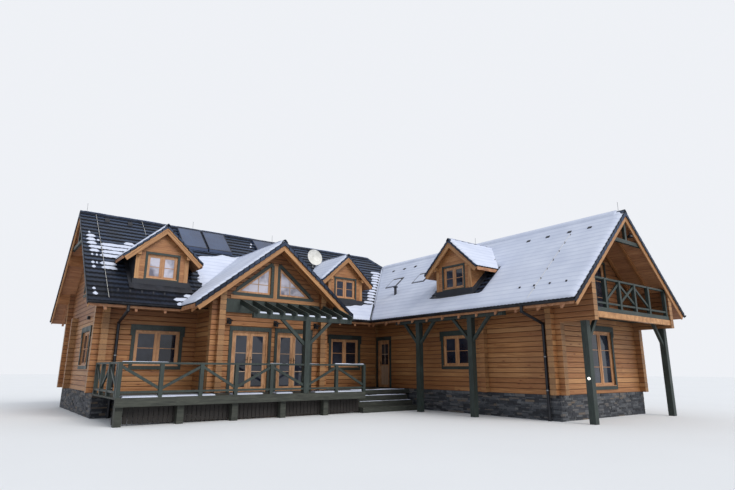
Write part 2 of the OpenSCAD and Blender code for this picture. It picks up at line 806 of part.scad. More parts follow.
// Terrace door leaves, numbered from the left: stiles and rails, open for the glass
hinge_r = 8;
hinge_len = 100;
hinge_plate = 25;
hinge_plate_t = 3;
hinge_z = [1050, 1780, 2560];
leaf_w = (pair_width - 2 * door_frame_w - 2 * leaf_gap - pair_gap) / 2;
leaf_y = frame_in + frame_t - leaf_t;
leaf_z0 = floor_h + leaf_gap + 4;
leaf_z1 = head_h - door_frame_w - leaf_gap;
function leaf_x(i) = bay_doors[floor(i / 2)] + door_frame_w + leaf_gap + (i % 2) * (leaf_w + pair_gap);
module leaf_light(i) {
    $light_w = leaf_w - 2 * leaf_rail;
    $light_h = leaf_z1 - leaf_z0 - leaf_rail - leaf_foot_rail;
    translate([leaf_x(i) + leaf_rail, leaf_y, leaf_z0 + leaf_foot_rail]) children();
}
// Hinge barrels on a leaf's edge at x, on its inner face; dir points from the edge over the leaf
module hinge_barrels(x, dir)
    for (z = hinge_z) translate([x, leaf_y + leaf_t, z]) {
        translate([-dir * leaf_gap / 2, hinge_r, 0]) cylinder(r = hinge_r, h = hinge_len, $fn = 32);
        translate([dir > 0 ? -leaf_gap / 2 : -hinge_plate, 0, 0])
            cube([hinge_plate + leaf_gap / 2, hinge_plate_t, hinge_len]);
    }
module french_leaf(i)
    color(timber_pale) on_bay() {
        difference() {
            block([leaf_x(i), leaf_y, leaf_z0], [leaf_x(i) + leaf_w, leaf_y + leaf_t, leaf_z1]);
            leaf_light(i) block([0, -1, 0], [$light_w, leaf_t + 1, $light_h]);
        }
        hinge_barrels(i % 2 == 0 ? leaf_x(i) : leaf_x(i) + leaf_w, i % 2 == 0 ? 1 : -1);
    }
module french_glass(i)
    color(glass) on_bay() leaf_light(i)
        block([0, (leaf_t - glass_t) / 2, 0], [$light_w, (leaf_t + glass_t) / 2, $light_h]);
module french_leaf_1() french_leaf(0);
module french_leaf_2() french_leaf(1);
module french_leaf_3() french_leaf(2);
module french_leaf_4() french_leaf(3);
module french_glass_1() french_glass(0);
module french_glass_2() french_glass(1);
module french_glass_3() french_glass(2);
module french_glass_4() french_glass(3);

// Entrance door: boarded below, glazed above
entrance_x = [-entrance_y[1] + door_frame_w + leaf_gap + 3, -entrance_y[0] - door_frame_w - leaf_gap];
module entrance_light(y0, y1)
    block([entrance_x[0] + entrance_rail, y0, entrance_panel_top],
        [entrance_x[1] - entrance_rail, y1, leaf_z1 - entrance_rail]);
module entrance_leaf()
    color(timber_pale) on_inner() {
        difference() {
            block([entrance_x[0], leaf_y, leaf_z0], [entrance_x[1], leaf_y + leaf_t, leaf_z1]);
            entrance_light(leaf_y - 1, leaf_y + leaf_t + 1);
        }
        hinge_barrels(entrance_x[1], -1);
    }
module entrance_glass()
    color(glass) on_inner() entrance_light(leaf_y + (leaf_t - glass_t) / 2, leaf_y + (leaf_t + glass_t) / 2);

// Terrace
module terrace_outline()
    difference() {
        translate([deck_left, -deck_out])
            square([deck_right - deck_left, deck_out + eave_over - gap_to_wall]);
        translate([bay_left - gap_to_wall - log_end, bay_face - gap_to_wall - log_end])
            square([bay_width + 2 * (gap_to_wall + log_end), span]);
    }
module terrace_floor()
    color(green) difference() {
        translate([0, 0, deck_h - board_t]) linear_extrude(board_t) terrace_outline();
        block([deck_left - 1, eave_over - log_end - gap_to_wall, 0],
            [left_face + wall_t + gap_to_wall, eave_over, span]);
        at_eave("front") translate([front_pipe_x, eave_over - pipe_off, 0])
            cylinder(r = pipe_r + gap_to_wall, h = span, $fn = 32);
    }
fascia_t = 60;
deck_pier_w = 200;
deck_pier_in = 150;
deck_pier_step = 1700;
module terrace_frame()
    color(green) {
        block([deck_left, -deck_out, deck_h - board_t - fascia_h],
            [deck_right, -deck_out + fascia_t, deck_h - board_t]);
        for (x = [deck_left + fascia_t:deck_pier_step:deck_right - fascia_t - deck_pier_w])
            block([x, -deck_out + deck_pier_in, 0],
                [x + deck_pier_w, -deck_out + deck_pier_in + deck_pier_w, deck_h - board_t]);
    }
// A straight rail: posts, top and bottom bars, and in each bay nothing (0), a rising diagonal (1),
// a falling one (-1) or a cross (2)
module rail_panel(posts, height, dirs) {
    last = posts[len(posts) - 1];
    low = rail_low + rail_bar_h;
    high = height - rail_bar_h;
    for (p = posts) block([p - rail_post_w / 2, -rail_post_w / 2, 0],
        [p + rail_post_w / 2, rail_post_w / 2, height]);
    block([posts[0] - rail_post_w / 2, -rail_bar_t / 2, high],
        [last + rail_post_w / 2, rail_bar_t / 2, height]);
    block([posts[0], -rail_bar_t / 2, rail_low], [last, rail_bar_t / 2, low]);
    for (i = [0:len(posts) - 2]) {
        if (dirs[i] == 1 || dirs[i] == 2) rail_diagonal([posts[i], low], [posts[i + 1], high]);
        if (dirs[i] == -1 || dirs[i] == 2) rail_diagonal([posts[i], high], [posts[i + 1], low]);
    }
}
// Diagonal bar between two points of a rail, drawn with upright ends
module rail_diagonal(a, b) {
    d = a[1] < b[1] ? rail_diagonal_h : -rail_diagonal_h;
    along_y(-25, 25) polygon([a, [a[0], a[1] + d], b, [b[0], b[1] - d]]);
}
module terrace_rails()
    color(green) {
        difference() {
            translate([deck_left + rail_post_w / 2, -deck_out + rail_post_w / 2, deck_h])
                rail_panel(rail_posts, rail_h, rail_dirs);
            block([pergola_post_x - pergola_post_w / 2, -span, 0],
                [pergola_post_x + pergola_post_w / 2, span, span]);
        }
        translate([deck_left + rail_post_w / 2, -deck_out + 2 * rail_post_w, deck_h]) rotate(90)
            rail_panel(side_rail_posts, rail_h, [1, -1, 1]);
    }
landing_x = [deck_right + gap_to_wall, eave_over - gap_to_wall];
landing_y = -1200;
landing_steps = 3;
landing_run = 300;
landing_t = 160;
steps_right = 750;
module landing()
    color(green) {
        block([landing_x[0], landing_y, deck_h - landing_t],
            [landing_x[1], eave_over - gap_to_wall, deck_h]);
        for (i = [1:landing_steps])
            block([landing_x[0], landing_y - i * landing_run, 0],
                [steps_right, landing_y - (i - 1) * landing_run, deck_h * (1 - i / (landing_steps + 1))]);
        for (x = [landing_x[0] + deck_pier_w, landing_x[1] - 2 * deck_pier_w])
            block([x, landing_y + deck_pier_w, 0],
                [x + deck_pier_w, eave_over - deck_pier_w, deck_h - landing_t]);
    }

// Pergola in front of the bay
pergola_x = [-6640, -2650];
pergola_post_x = -4560;
pergola_post_w = 200;
pergola_beam = [3230, 3390];
pergola_y = -deck_out + 90;
rafters = 9;
ledger_z = [3600, 3870];
ledger_t = 80;
rafter_top = 3980;
rafter_h = 180;
rafter_x = [for (i = [0:rafters - 1])
    pergola_x[0] + 100 + i * (pergola_x[1] - pergola_x[0] - 200) / (rafters - 1)];
module brace(x, z, dir, run, drop, t, w)
    along_y(-w / 2, w / 2)
        polygon([[x, z - drop], [x, z - drop + t], [x + dir * (run - t), z], [x + dir * run, z]]);
module pergola_frame()
    color(green) {
        translate([0, pergola_y, 0]) {
            block([pergola_x[0], -70, pergola_beam[0]], [pergola_x[1], 70, pergola_beam[1]]);
            block([pergola_post_x - pergola_post_w / 2, -pergola_post_w / 2, deck_h],
                [pergola_post_x + pergola_post_w / 2, pergola_post_w / 2, pergola_beam[0]]);
            for (dir = [-1, 1])
                brace(pergola_post_x + dir * pergola_post_w / 2, pergola_beam[0], dir,
                    950, 870, 150, 90);
        }
        ledger(bay_left + wall_t, bay_right - wall_t, bay_face);
        ledger(bay_right - wall_t, pergola_x[1], bay_face - log_end);
    }
module ledger(x0, x1, y)
    block([x0, y - ledger_t, ledger_z[0]], [x1, y, ledger_z[1]]);
module rafter(x, y)
    translate([x, 0, 0]) along_x(-30, 30) polygon([
        [y, rafter_top - rafter_h], [y, rafter_top],
        [pergola_y - 250, pergola_beam[1] + 85], [pergola_y - 250, pergola_beam[1] - 40],
        [pergola_y - 70, pergola_beam[1]], [pergola_y + 70, pergola_beam[1]]]);
module pergola_rafters()
    color(green) for (x = rafter_x)
        rafter(x, (x < bay_right - wall_t - 30 ? bay_face : bay_face - log_end) - ledger_t);

// Porch along the right wing
porch_x = 200;
porch_posts = [2870, 5570];
porch_beam = [1550, 7050];
porch_beam_h = 200;
porch_top = eave_h + pitch * (porch_x - post_w / 2) - roof_t;
module porch_frame()
    color(green) at_eave("inner") translate([0, porch_x, 0]) {
        block([porch_beam[0], -post_w / 2, porch_top - porch_beam_h],
            [porch_beam[1], post_w / 2, porch_top]);
        for (p = porch_posts) {
            block([p - post_w / 2, -post_w / 2, 0], [p + post_w / 2, post_w / 2, porch_top - porch_beam_h]);
            for (dir = [-1, 1])
                brace(p + dir * post_w / 2, porch_top - porch_beam_h, dir, 800, 850, 140, 100);
        }
    }

// Balcony under the right gable
module balcony_floor()
    color(green) block([balcony_inner[0], balcony_y + 40, loft_h - balcony_floor_t],
        [balcony_inner[1], gable_face, loft_h]);
module balcony_beam()
    color(timber_pale) block([balcony_inner[0], balcony_y + 20, loft_h - balcony_floor_t - balcony_beam_h],
        [balcony_inner[1], balcony_y + 160, loft_h - balcony_floor_t]);
balcony_rail_x = [2050, 2980, 4010, 5020];
module balcony_rail()
    color(green) translate([0, balcony_y + 100, loft_h]) rail_panel(
        concat([balcony_inner[0] + rail_post_w / 2], balcony_rail_x, [balcony_rail_end - rail_post_w / 2]),
        rail_h, [0, 1, 2, -1, 0]);
module balcony_posts()
    color(green) for (dir = [-1, 1])
        translate([dir < 0 ? balcony_inner[0] - wall_t / 2 : balcony_inner[1] + wall_t / 2,
                balcony_y + balcony_post_in, 0]) {
            block([-post_w / 2, -post_w / 2, 0], [post_w / 2, post_w / 2, balcony_log_z]);
            brace(-dir * post_w / 2, loft_h - balcony_floor_t, -dir, 750, 950, 150, 100);
        }

// Collar beams with king posts high in both main gables
module collar(half, ridge_z, z)
    intersection() {
        union() {
            block([-half, 0, z], [half, 90, z + 130]);
            block([-60, 0, z + 130], [60, 90, ridge_z]);
        }
        intersection_for (dir = [-1, 1]) translate([-dir * half, 0, 0]) rotate(-90 * dir)
            below_plane(pitch, ridge_z - pitch * half - roof_t);
    }
module gable_collars()
    color(green) {
        translate([half_right, -right_len + board_back + 20, 0])
            collar(half_right, ridge_right_h, ridge_right_h - 1190);
        translate([-left_len + board_back + 20, half_left, 0]) rotate(-90)
            collar(half_left, ridge_left_h, ridge_left_h - 1400);
    }

// Solar collectors lie on the tiles of the left wing
solar_x = [-7490, -6400, -3970, -2880];
solar_w = 1030;
solar_y = [3020, half_left - cap_half - 30];
solar_t = 120;
module solar_collectors()
    color([0.25, 0.33, 0.45]) for (x = solar_x) along_x(x, x + solar_w)
        polygon([for (p = [[0, 0], [0, solar_t], [1, solar_t], [1, 0]])
            [solar_y[p[0]], eave_h + pitch * solar_y[p[0]] + p[1]]]);

// Satellite dish on a short mast
dish_r = 400;
dish_deep = 100;
dish_at = [-1270, 2960];
dish_z = 6820;
module satellite_dish()
    color("whitesmoke") translate([dish_at[0], dish_at[1], 0]) {
        difference() {
            cylinder(r = 25, h = dish_z, $fn = 24);
            translate([0, -dish_at[1], 0]) below_plane(pitch, eave_h);
        }
        translate([0, -20, dish_z]) rotate([80, 0, 0]) {
            cylinder(r = 30, h = 60, $fn = 24);
            translate([0, 0, 40]) rotate_extrude($fn = 48)
                polygon(concat([for (i = [0:6]) [dish_r * i / 6, dish_deep * i * i / 36]],
                    [for (i = [6:-1:0]) [dish_r * i / 6, dish_deep * i * i / 36 + 14]]));
        }
    }

// Skylights in the inner roof plane
module skylight_slab(s, in, z0, z1)
    along_y(s[1] + in, s[3] - in) polygon([
        [s[0] + in, eave_h + pitch * (s[0] + in) + z0], [s[0] + in, eave_h + pitch * (s[0] + in) + z1],
        [s[2] - in, eave_h + pitch * (s[2] - in) + z1], [s[2] - in, eave_h + pitch * (s[2] - in) + z0]]);
module skylight_pane(s) skylight_slab(s, 60, 10, 40);
module skylights()
    color(dark_metal) for (s = skylight_list) difference() {
        skylight_slab(s, 0, -roof_t, 70);
        skylight_slab(s, 60, -roof_t - 10, 90);
    }

// Short lightning rods on the ridges
module lightning_rods()
    color("gray") {
        for (x = [-left_len + 250, -left_len * 0.6, -left_len * 0.25])
            translate([x, half_left, ridge_left_h + 28]) cylinder(r = 8, h = 350, $fn = 16);
        for (y = [-right_len + 250, -right_len * 0.3])
            translate([half_right, y, ridge_right_h + 28]) cylinder(r = 8, h = 350, $fn = 16);
    }

// The whole house, with its origin under the middle of its plan
translate([shift_x, shift_y, 0]) {
    plinth();
    ground_floor();
    loft_floor();
    front_wall_left();
    front_wall_right();
    left_gable_wall();
    rear_wall();
    outer_wall();
    right_gable_wall();
    inner_wall();
    inner_wall_over_door();
    bay_side_walls();
    bay_piers();
    bay_gable_wall();
    balcony_side_walls();
    roof_deck_left_wing();
    roof_deck_right_wing();
    roof_tiles_front();
    roof_tiles_rear();
    roof_tiles_inner();
    roof_tiles_outer();
    bay_roof_deck();
    bay_roof_tiles();
    dormer_roof_decks();
    dormer_roof_tiles();
    dormer_walls();
    ridge_caps();
    barge_boards();
    gutters();
    downpipes();
    window_frames();
    window_glass();
    window_trims();
    door_frames();
    french_leaf_1();
    french_leaf_2();
    french_leaf_3();
    french_leaf_4();
    french_glass_1();
    french_glass_2();
    french_glass_3();
    french_glass_4();
    entrance_leaf();
    entrance_glass();
    terrace_floor();
    terrace_frame();
    terrace_rails();
    landing();
    pergola_frame();
    pergola_rafters();
    porch_frame();
    balcony_floor();
    balcony_beam();
    balcony_rail();
    balcony_posts();
    gable_collars();
    solar_collectors();
    satellite_dish();
    skylights();
    lightning_rods();
}
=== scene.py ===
# Looks of an alpine log chalet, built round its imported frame
import math
import random

import bmesh
import bpy
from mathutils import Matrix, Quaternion, Vector, noise


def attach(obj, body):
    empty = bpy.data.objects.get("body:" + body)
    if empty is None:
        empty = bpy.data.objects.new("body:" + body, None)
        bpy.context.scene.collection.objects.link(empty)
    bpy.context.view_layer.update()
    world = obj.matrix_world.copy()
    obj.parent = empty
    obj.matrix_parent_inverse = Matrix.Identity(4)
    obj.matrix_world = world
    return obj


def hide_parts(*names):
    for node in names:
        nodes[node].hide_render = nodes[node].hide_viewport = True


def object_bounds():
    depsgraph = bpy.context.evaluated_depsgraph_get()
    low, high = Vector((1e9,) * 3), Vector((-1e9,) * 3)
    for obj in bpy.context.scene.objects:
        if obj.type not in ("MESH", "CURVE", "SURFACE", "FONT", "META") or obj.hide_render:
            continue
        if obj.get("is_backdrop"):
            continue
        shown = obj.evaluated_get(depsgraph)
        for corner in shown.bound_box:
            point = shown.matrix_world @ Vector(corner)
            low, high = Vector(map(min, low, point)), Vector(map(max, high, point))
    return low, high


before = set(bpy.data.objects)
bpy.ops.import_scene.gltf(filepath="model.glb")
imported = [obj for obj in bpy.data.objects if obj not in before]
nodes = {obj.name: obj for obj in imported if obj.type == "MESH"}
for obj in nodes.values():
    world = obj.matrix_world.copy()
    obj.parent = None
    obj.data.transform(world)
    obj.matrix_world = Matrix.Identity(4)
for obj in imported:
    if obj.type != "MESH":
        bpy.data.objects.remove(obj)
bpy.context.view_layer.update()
scene = bpy.context.scene
random.seed(7)

# All places below are in the house frame: x along the left wing, y away from the terrace and z from
# the ground, in metres, from the corner where the two inner eaves meet
SHIFT = Vector((1.795, 0.465, 0))
EAVE = 3.70
PITCH = 0.9
OVER = 1.13
WALL = 0.22
LEFT, LEFT_DEPTH = 11.24, 8.73
RIGHT, RIGHT_WIDTH = 9.81, 7.5
HALF_LEFT, HALF_RIGHT = LEFT_DEPTH / 2, RIGHT_WIDTH / 2
LEFT_FACE, RIGHT_FACE, REAR_FACE, GABLE_FACE = -10.57, 6.65, 7.60, -8.33
OUTER_OVER = 0.85
BAY_X, BAY_HALF, BAY_FACE, BAY_VERGE, BAY_PITCH = -5.2, 3.15, -0.85, -1.5, 0.8
BAY_LEFT, BAY_RIGHT = -7.35, -3.05
FLOOR = 0.80
DECK = 0.78
LOG, GAUGE = 0.1725, 0.197
ROOF_T = 0.20
DORMER_HALF, DORMER_WIDTH, DORMER_FACE, DORMER_VERGE, DORMER_RISE = 1.39, 1.85, 0.85, 0.27, 2.95
DORMER_EAVE = EAVE + DORMER_RISE - PITCH * DORMER_HALF
DORMER_TOP, DORMER_BACK = EAVE + DORMER_RISE, DORMER_RISE / PITCH
HALF_W = DORMER_WIDTH / 2
BAY_TOP, BAY_BACK = EAVE + BAY_PITCH * BAY_HALF, BAY_PITCH * BAY_HALF / PITCH
LEFT_DORMER = ("front", -8.85)
DORMERS = [LEFT_DORMER, ("front", -0.82), ("inner", -4.22), ("outer", -4.22), ("rear", -5.20)]
SKYLIGHTS = [(1.88, 0.50, 2.45, 1.28), (1.88, -1.45, 2.45, -0.63)]
RIDGE_LEFT_Z = EAVE + PITCH * HALF_LEFT
RIDGE_RIGHT_Z = EAVE + PITCH * HALF_RIGHT
HIP_LOW = (RIGHT_WIDTH, LEFT_DEPTH)
HIP_LEFT = (RIGHT_WIDTH - HALF_LEFT, HALF_LEFT)
HIP_RIGHT = (HALF_RIGHT, HALF_RIGHT)


# Materials


def rgb(colour):
    """Linear colour of an sRGB one from 0 to 255. A colour in four parts is linear already."""
    if len(colour) == 4:
        return colour
    parts = [c / 255 for c in colour]
    return tuple(c / 12.92 if c <= 0.04045 else ((c + 0.055) / 1.055) ** 2.4 for c in parts) + (1,)


class Shader:
    """A node material that is written down one node at a time."""

    def __init__(self, name, rough=0.6, **sockets):
        self.mat = bpy.data.materials.new(name)
        self.mat.use_nodes = True
        self.tree = self.mat.node_tree
        self.base = self.tree.nodes["Principled BSDF"]
        self.base.inputs["Roughness"].default_value = rough
        for key, value in sockets.items():
            self.put(self.base.inputs[key.replace("_", " ")], value)
        self.coords = self.tree.nodes.new("ShaderNodeTexCoord")

    def node(self, kind, inputs, **settings):
        made = self.tree.nodes.new("ShaderNode" + kind)
        for key, value in settings.items():
            setattr(made, key, value)
        for key, value in inputs.items():
            self.put(made.inputs[key], value)
        return made

    def put(self, socket, value):
        if isinstance(value, bpy.types.NodeSocket):
            self.tree.links.new(value, socket)
        else:
            socket.default_value = rgb(value) if socket.type == "RGBA" else value

    def place(self, scale=(1, 1, 1), of="Object"):
        return self.node("Mapping", {"Vector": self.coords.outputs[of], "Scale": scale}).outputs[0]

    def math(self, op, a, b=0.0):
        return self.node("Math", {0: a, 1: b}, operation=op).outputs[0]

    def times(self, a, b):
        return self.math("MULTIPLY", a, b)

    def plus(self, a, b):
        return self.math("ADD", a, b)

    def off_middle(self, share):
        """How far a share from 0 to 1 is from 0.5."""
        return self.math("ABSOLUTE", self.math("SUBTRACT", share, 0.5))

    def course_share(self):
        """How far up its tile course a point is, from 0 to 1."""
        return self.math("FRACT", self.math("DIVIDE", self.xyz(self.coords.outputs["UV"])[1], GAUGE))

    def cloud(self, scale, detail):
        return self.noise(self.place(), scale, detail)

    def cells(self, vector):
        return self.node("TexVoronoi", {"Vector": vector, "Scale": 1.0}).outputs["Distance"]

    def noise(self, vector, scale=1.0, detail=3.0, rough=0.55, twist=0.0):
        return self.node("TexNoise", {"Vector": vector, "Scale": scale, "Detail": detail,
                                      "Roughness": rough, "Distortion": twist}).outputs["Fac"]

    def random(self, vector):
        return self.node("TexWhiteNoise", {"Vector": vector}, noise_dimensions="3D").outputs["Value"]

    def ramp(self, fac, *stops):
        made = self.node("ValToRGB", {"Fac": fac})
        ramp = made.color_ramp
        while len(ramp.elements) < len(stops):
            ramp.elements.new(0.5)
        for element, (place, colour) in zip(ramp.elements, stops):
            element.position = place
            element.color = rgb(colour)
        return made.outputs[0]

    def step(self, value, low, high, to_low=0.0, to_high=1.0):
        return self.node("MapRange", {"Value": value, "From Min": low, "From Max": high,
                                      "To Min": to_low, "To Max": to_high},
                         interpolation_type="SMOOTHSTEP").outputs[0]

    def mix(self, fac, a, b):
        return self.node("Mix", {0: fac, 6: a, 7: b}, data_type="RGBA").outputs[2]

    def layers(self, under, *rows):
        """A colour with others over it, each as strong as a smooth step of a value."""
        for value, low, high, to_low, to_high, colour in rows:
            under = self.mix(self.step(value, low, high, to_low, to_high), under, colour)
        return under

    def xyz(self, vector):
        return self.node("SeparateXYZ", {0: vector}).outputs

    def join(self, *parts):
        """A vector of three parts, each a value or a value and its factor."""
        parts = [self.times(*part) if isinstance(part, tuple) else part for part in parts]
        return self.node("CombineXYZ", dict(enumerate(parts))).outputs[0]

    def tone(self):
        return self.node("Attribute", {}, attribute_name="tone").outputs["Fac"]

    def colour(self, value):
        self.put(self.base.inputs["Base Color"], value)

    def rough(self, value):
        self.put(self.base.inputs["Roughness"], value)

    def bump(self, height, depth, strength=1.0):
        """Puts on the last part, the bump, and gives the material."""
        made = self.node("Bump", {"Height": height, "Distance": depth, "Strength": strength})
        self.put(self.base.inputs["Normal"], made.outputs[0])
        return self.mat


def log_timber(name, run):
    """Stacked logs that run along x (0) or y (1): grain, knots, cracks, and paler ends, with painted shade
    under the eaves and in the grooves between logs.
    """
    s = Shader(name, 0.62)
    place = s.place()
    parts = s.xyz(place)
    along, across, z = parts[run], parts[1 - run], parts[2]
    course = s.math("DIVIDE", s.math("SUBTRACT", z, FLOOR), LOG)
    number = s.math("FLOOR", course)
    edge = s.off_middle(s.math("FRACT", course))
    wall = s.math("ROUND", s.times(across, 0.6))
    log = s.random(s.join(number, wall, run * 3.0))
    piece = s.random(s.join(number, s.math("FLOOR", s.plus(s.times(along, 0.21), s.times(log, 7))), wall))
    grain_at = s.join((along, 0.9), (across, 6), s.plus(s.times(z, 34), s.times(piece, 40)))
    grain = s.noise(grain_at, 1.3, 5, 0.6, 0.6)
    fine = s.noise(grain_at, 6.5, 3, 0.7)
    knot = s.cells(s.join((along, 1.5), (across, 0.4), (course, 0.9)))
    crack = s.noise(s.join((along, 0.8), (piece, 30), (z, 52)), 1.0, 2, 0.4)
    wood = s.layers(s.ramp(grain, (0.25, (122, 76, 42)), (0.5, (164, 112, 66)), (0.75, (194, 146, 96))),
                    (piece, 0, 1, 0, 0.55, (128, 78, 42)),
                    (log, 0.5, 1, 0, 0.35, (200, 156, 108)),
                    (s.noise(place, 0.55, 2), 0.4, 0.7, 0, 0.35, (108, 66, 38)),
                    (fine, 0.58, 0.75, 0, 0.3, (92, 54, 28)),
                    # painted shade: the logs darken towards the eaves, where the roof shades them
                    (z, EAVE - 0.95, EAVE + 0.1, 0, 0.45, (92, 50, 28)),
                    (knot, 0.10, 0.16, 0.55, 0, (120, 66, 30)),
                    (knot, 0.03, 0.075, 0.9, 0, (66, 34, 18)),
                    (crack, 0.685, 0.72, 0, 0.7, (62, 34, 18)),
                    # painted shade in the grooves between stacked logs
                    (edge, 0.37, 0.5, 0, 0.8, (70, 38, 18)))
    ring = s.noise(s.join((across, 14), (z, 14), number), 1.2, 3, 0.5, 1.5)
    # The log ends get the same painted shade where they meet at each course.
    end_wood = s.layers(s.ramp(ring, (0.3, (132, 92, 56)), (0.5, (164, 122, 80)), (0.7, (140, 100, 62))),
                        (log, 0.2, 1, 0, 0.45, (104, 72, 46)), (edge, 0.40, 0.5, 0, 0.85, (60, 36, 20)))
    normal = s.xyz(s.node("NewGeometry", {}).outputs["True Normal"])[run]
    s.colour(s.mix(s.step(s.math("ABSOLUTE", normal), 0.7, 0.8), wood, end_wood))
    s.rough(s.step(fine, 0.3, 0.8, 0.5, 0.72))
    return s.bump(s.plus(s.times(grain, 0.6), s.times(fine, 0.4)), 0.004, 0.7)


def planed_timber(name, dark, mid, light, of="Object", scale=(1, 9, 9), rough=0.5):
    """Planed boards with grain along their first coordinate and a tone of their own."""
    s = Shader(name, rough)
    place = s.place(scale, of)
    grain = s.noise(place, 1.0, 5, 0.6, 0.8)
    fine = s.noise(place, 5.0, 2, 0.7)
    wood = s.ramp(grain, (0.28, dark), (0.5, mid), (0.72, light))
    wood = s.layers(wood, (fine, 0.55, 0.75, 0, 0.35, dark))
    if of == "UV":
        wood = s.layers(wood, (s.tone(), 0, 1, 0, 0.45, dark))
        spot = s.cells(s.place((1.6, 7, 1), "UV"))
        wood = s.layers(wood, (spot, 0.06, 0.13, 0.75, 0, tuple(c * 0.45 for c in rgb(dark)[:3]) + (1,)))
    s.colour(wood)
    return s.bump(s.plus(grain, s.times(fine, 0.5)), 0.002, 0.6)


def green_paint(name, scale=(14, 14, 1.4)):
    """Opaque paint on sawn timber, thin in places and paler where it has weathered."""
    s = Shader(name, 0.55)
    grain = s.noise(s.place(scale), 3.0, 4, 0.65, 0.4)
    patch = s.cloud(1.6, 3)
    paint = s.ramp(grain, (0.3, (25, 33, 31)), (0.55, (38, 49, 46)), (0.78, (56, 69, 65)))
    paint = s.layers(paint, (patch, 0.5, 0.72, 0, 0.35, (64, 76, 71)))
    worn = s.times(s.step(grain, 0.62, 0.7), s.step(patch, 0.52, 0.66))
    s.colour(s.mix(s.times(worn, 0.35), paint, (112, 102, 80)))
    s.rough(s.step(patch, 0.3, 0.7, 0.45, 0.68))
    return s.bump(grain, 0.003, 0.6)


def weathered_boards(name, of="UV", colours=((33, 36, 32), (53, 56, 50), (76, 78, 70))):
    """Weathered boards, grey-green or in another tone."""
    s = Shader(name, 0.75)
    place = s.place((2, 22, 22), of)
    grain = s.noise(place, 1.0, 5, 0.65, 0.6)
    dark, mid, light = colours
    wood = s.ramp(grain, (0.3, dark), (0.52, mid), (0.75, light))
    if of == "UV":
        wood = s.layers(wood, (s.tone(), 0, 1, 0, 0.5, mid))
    s.colour(wood)
    return s.bump(grain, 0.003, 0.8)


def roof_tile(name):
    """Blue-black tiles, frosted on the middle of each course, with painted shade on the bare edges of each
    course.
    """
    s = Shader(name, 0.6, Specular_IOR_Level=0.14)
    patch = s.cloud(1.6, 4)
    grit = s.cloud(70, 2)
    share = s.course_share()
    # The middle band is frost. The darker bare edges of each course are painted shade under the next
    # course's butt.
    middle = s.times(s.step(share, 0.05, 0.2), s.step(share, 0.55, 0.8, 1, 0))
    height = s.step(s.xyz(s.place())[2], EAVE + 0.2, EAVE + 2.2, 0.28, 1.0)
    tile = s.ramp(patch, (0.3, (5, 7, 12)), (0.55, (9, 11, 19)), (0.8, (16, 20, 31)))
    tile = s.layers(tile, (s.tone(), 0, 1, 0, 0.10, (33, 39, 54)))
    frost_and_edge_shade = s.times(s.times(middle, height), s.step(patch, 0.3, 0.6, 0.55, 1.0))
    tile = s.mix(s.times(frost_and_edge_shade, 0.55), tile, (84, 98, 124))
    tile = s.layers(tile, (grit, 0.6, 0.75, 0, 0.12, (70, 78, 98)))
    s.colour(tile)
    s.rough(s.step(patch, 0.3, 0.7, 0.42, 0.62))
    return s.bump(grit, 0.001, 0.4)


def slate_stone(name):
    """Split slate: cool greys with rust-brown and pale faces."""
    s = Shader(name, 0.8)
    tone = s.tone()
    layers = s.noise(s.place((6, 6, 60)), 1.0, 5, 0.7, 0.4)
    patch = s.cloud(9, 4)
    stone = s.ramp(tone, (0.0, (34, 36, 42)), (0.45, (62, 65, 72)), (0.8, (98, 100, 104)),
                   (1.0, (112, 98, 84)))
    stone = s.layers(stone, (layers, 0.35, 0.7, 0, 0.5, (40, 42, 48)))
    stone = s.layers(stone, (patch, 0.56, 0.72, 0, 0.45, (128, 128, 126)))
    s.colour(stone)
    return s.bump(layers, 0.006, 0.9)


def speckled(name, rough, scale, detail, low, high, depth=0.0, strength=1.0, at=(0.3, 0.7), **sockets):
    """A finish with a soft pattern of two colours."""
    s = Shader(name, rough, **sockets)
    pattern = s.cloud(scale, detail)
    s.colour(s.ramp(pattern, (at[0], low), (at[1], high)))
    if depth:
        s.bump(pattern, depth, strength)
    return s.mat


def dark_metal(name, colour=(30, 31, 36), rough=0.42, metal=0.6):
    """Metal with faint dirt."""
    s = Shader(name, rough, Metallic=metal)
    dirt = s.cloud(3.5, 4)
    s.colour(s.ramp(dirt, (0.35, colour), (0.75, [c + 26 for c in colour])))
    s.rough(s.step(dirt, 0.3, 0.7, rough - 0.08, rough + 0.14))
    return s.bump(s.cloud(60, 2), 0.0006, 0.5)


def collector_glass(name):
    """Blue absorber behind glass, with faint vertical strips."""
    s = Shader(name, 0.2, Coat_Weight=0.2, Coat_Roughness=0.08)
    x = s.xyz(s.place())[0]
    strip = s.math("FRACT", s.times(x, 8.5))
    line = s.step(s.off_middle(strip), 0.44, 0.5)
    patch = s.cloud(1.2, 2)
    blue = s.ramp(patch, (0.3, (34, 50, 82)), (0.7, (50, 70, 104)))
    s.colour(s.mix(s.times(line, 0.35), blue, (30, 42, 64)))
    return s.bump(line, 0.001, 0.3)


def snow_cover(name):
    """Settled snow, faintly blue, with a soft grain and painted shade along the step of each tile course."""
    s = Shader(name, 0.8, Specular_IOR_Level=0.2)
    soft = s.cloud(1.1, 3)
    grain = s.cloud(38, 3)
    # painted shade where the snow steps down at each tile course
    course_crease_shade = s.step(s.off_middle(s.course_share()), 0.36, 0.5, 0, 0.5)
    snow = s.ramp(soft, (0.3, (196, 203, 222)), (0.7, (212, 218, 234)))
    s.colour(s.mix(course_crease_shade, snow, (174, 182, 206)))
    return s.bump(s.plus(s.times(soft, 0.2), s.times(grain, 0.1)), 0.02, 0.3)


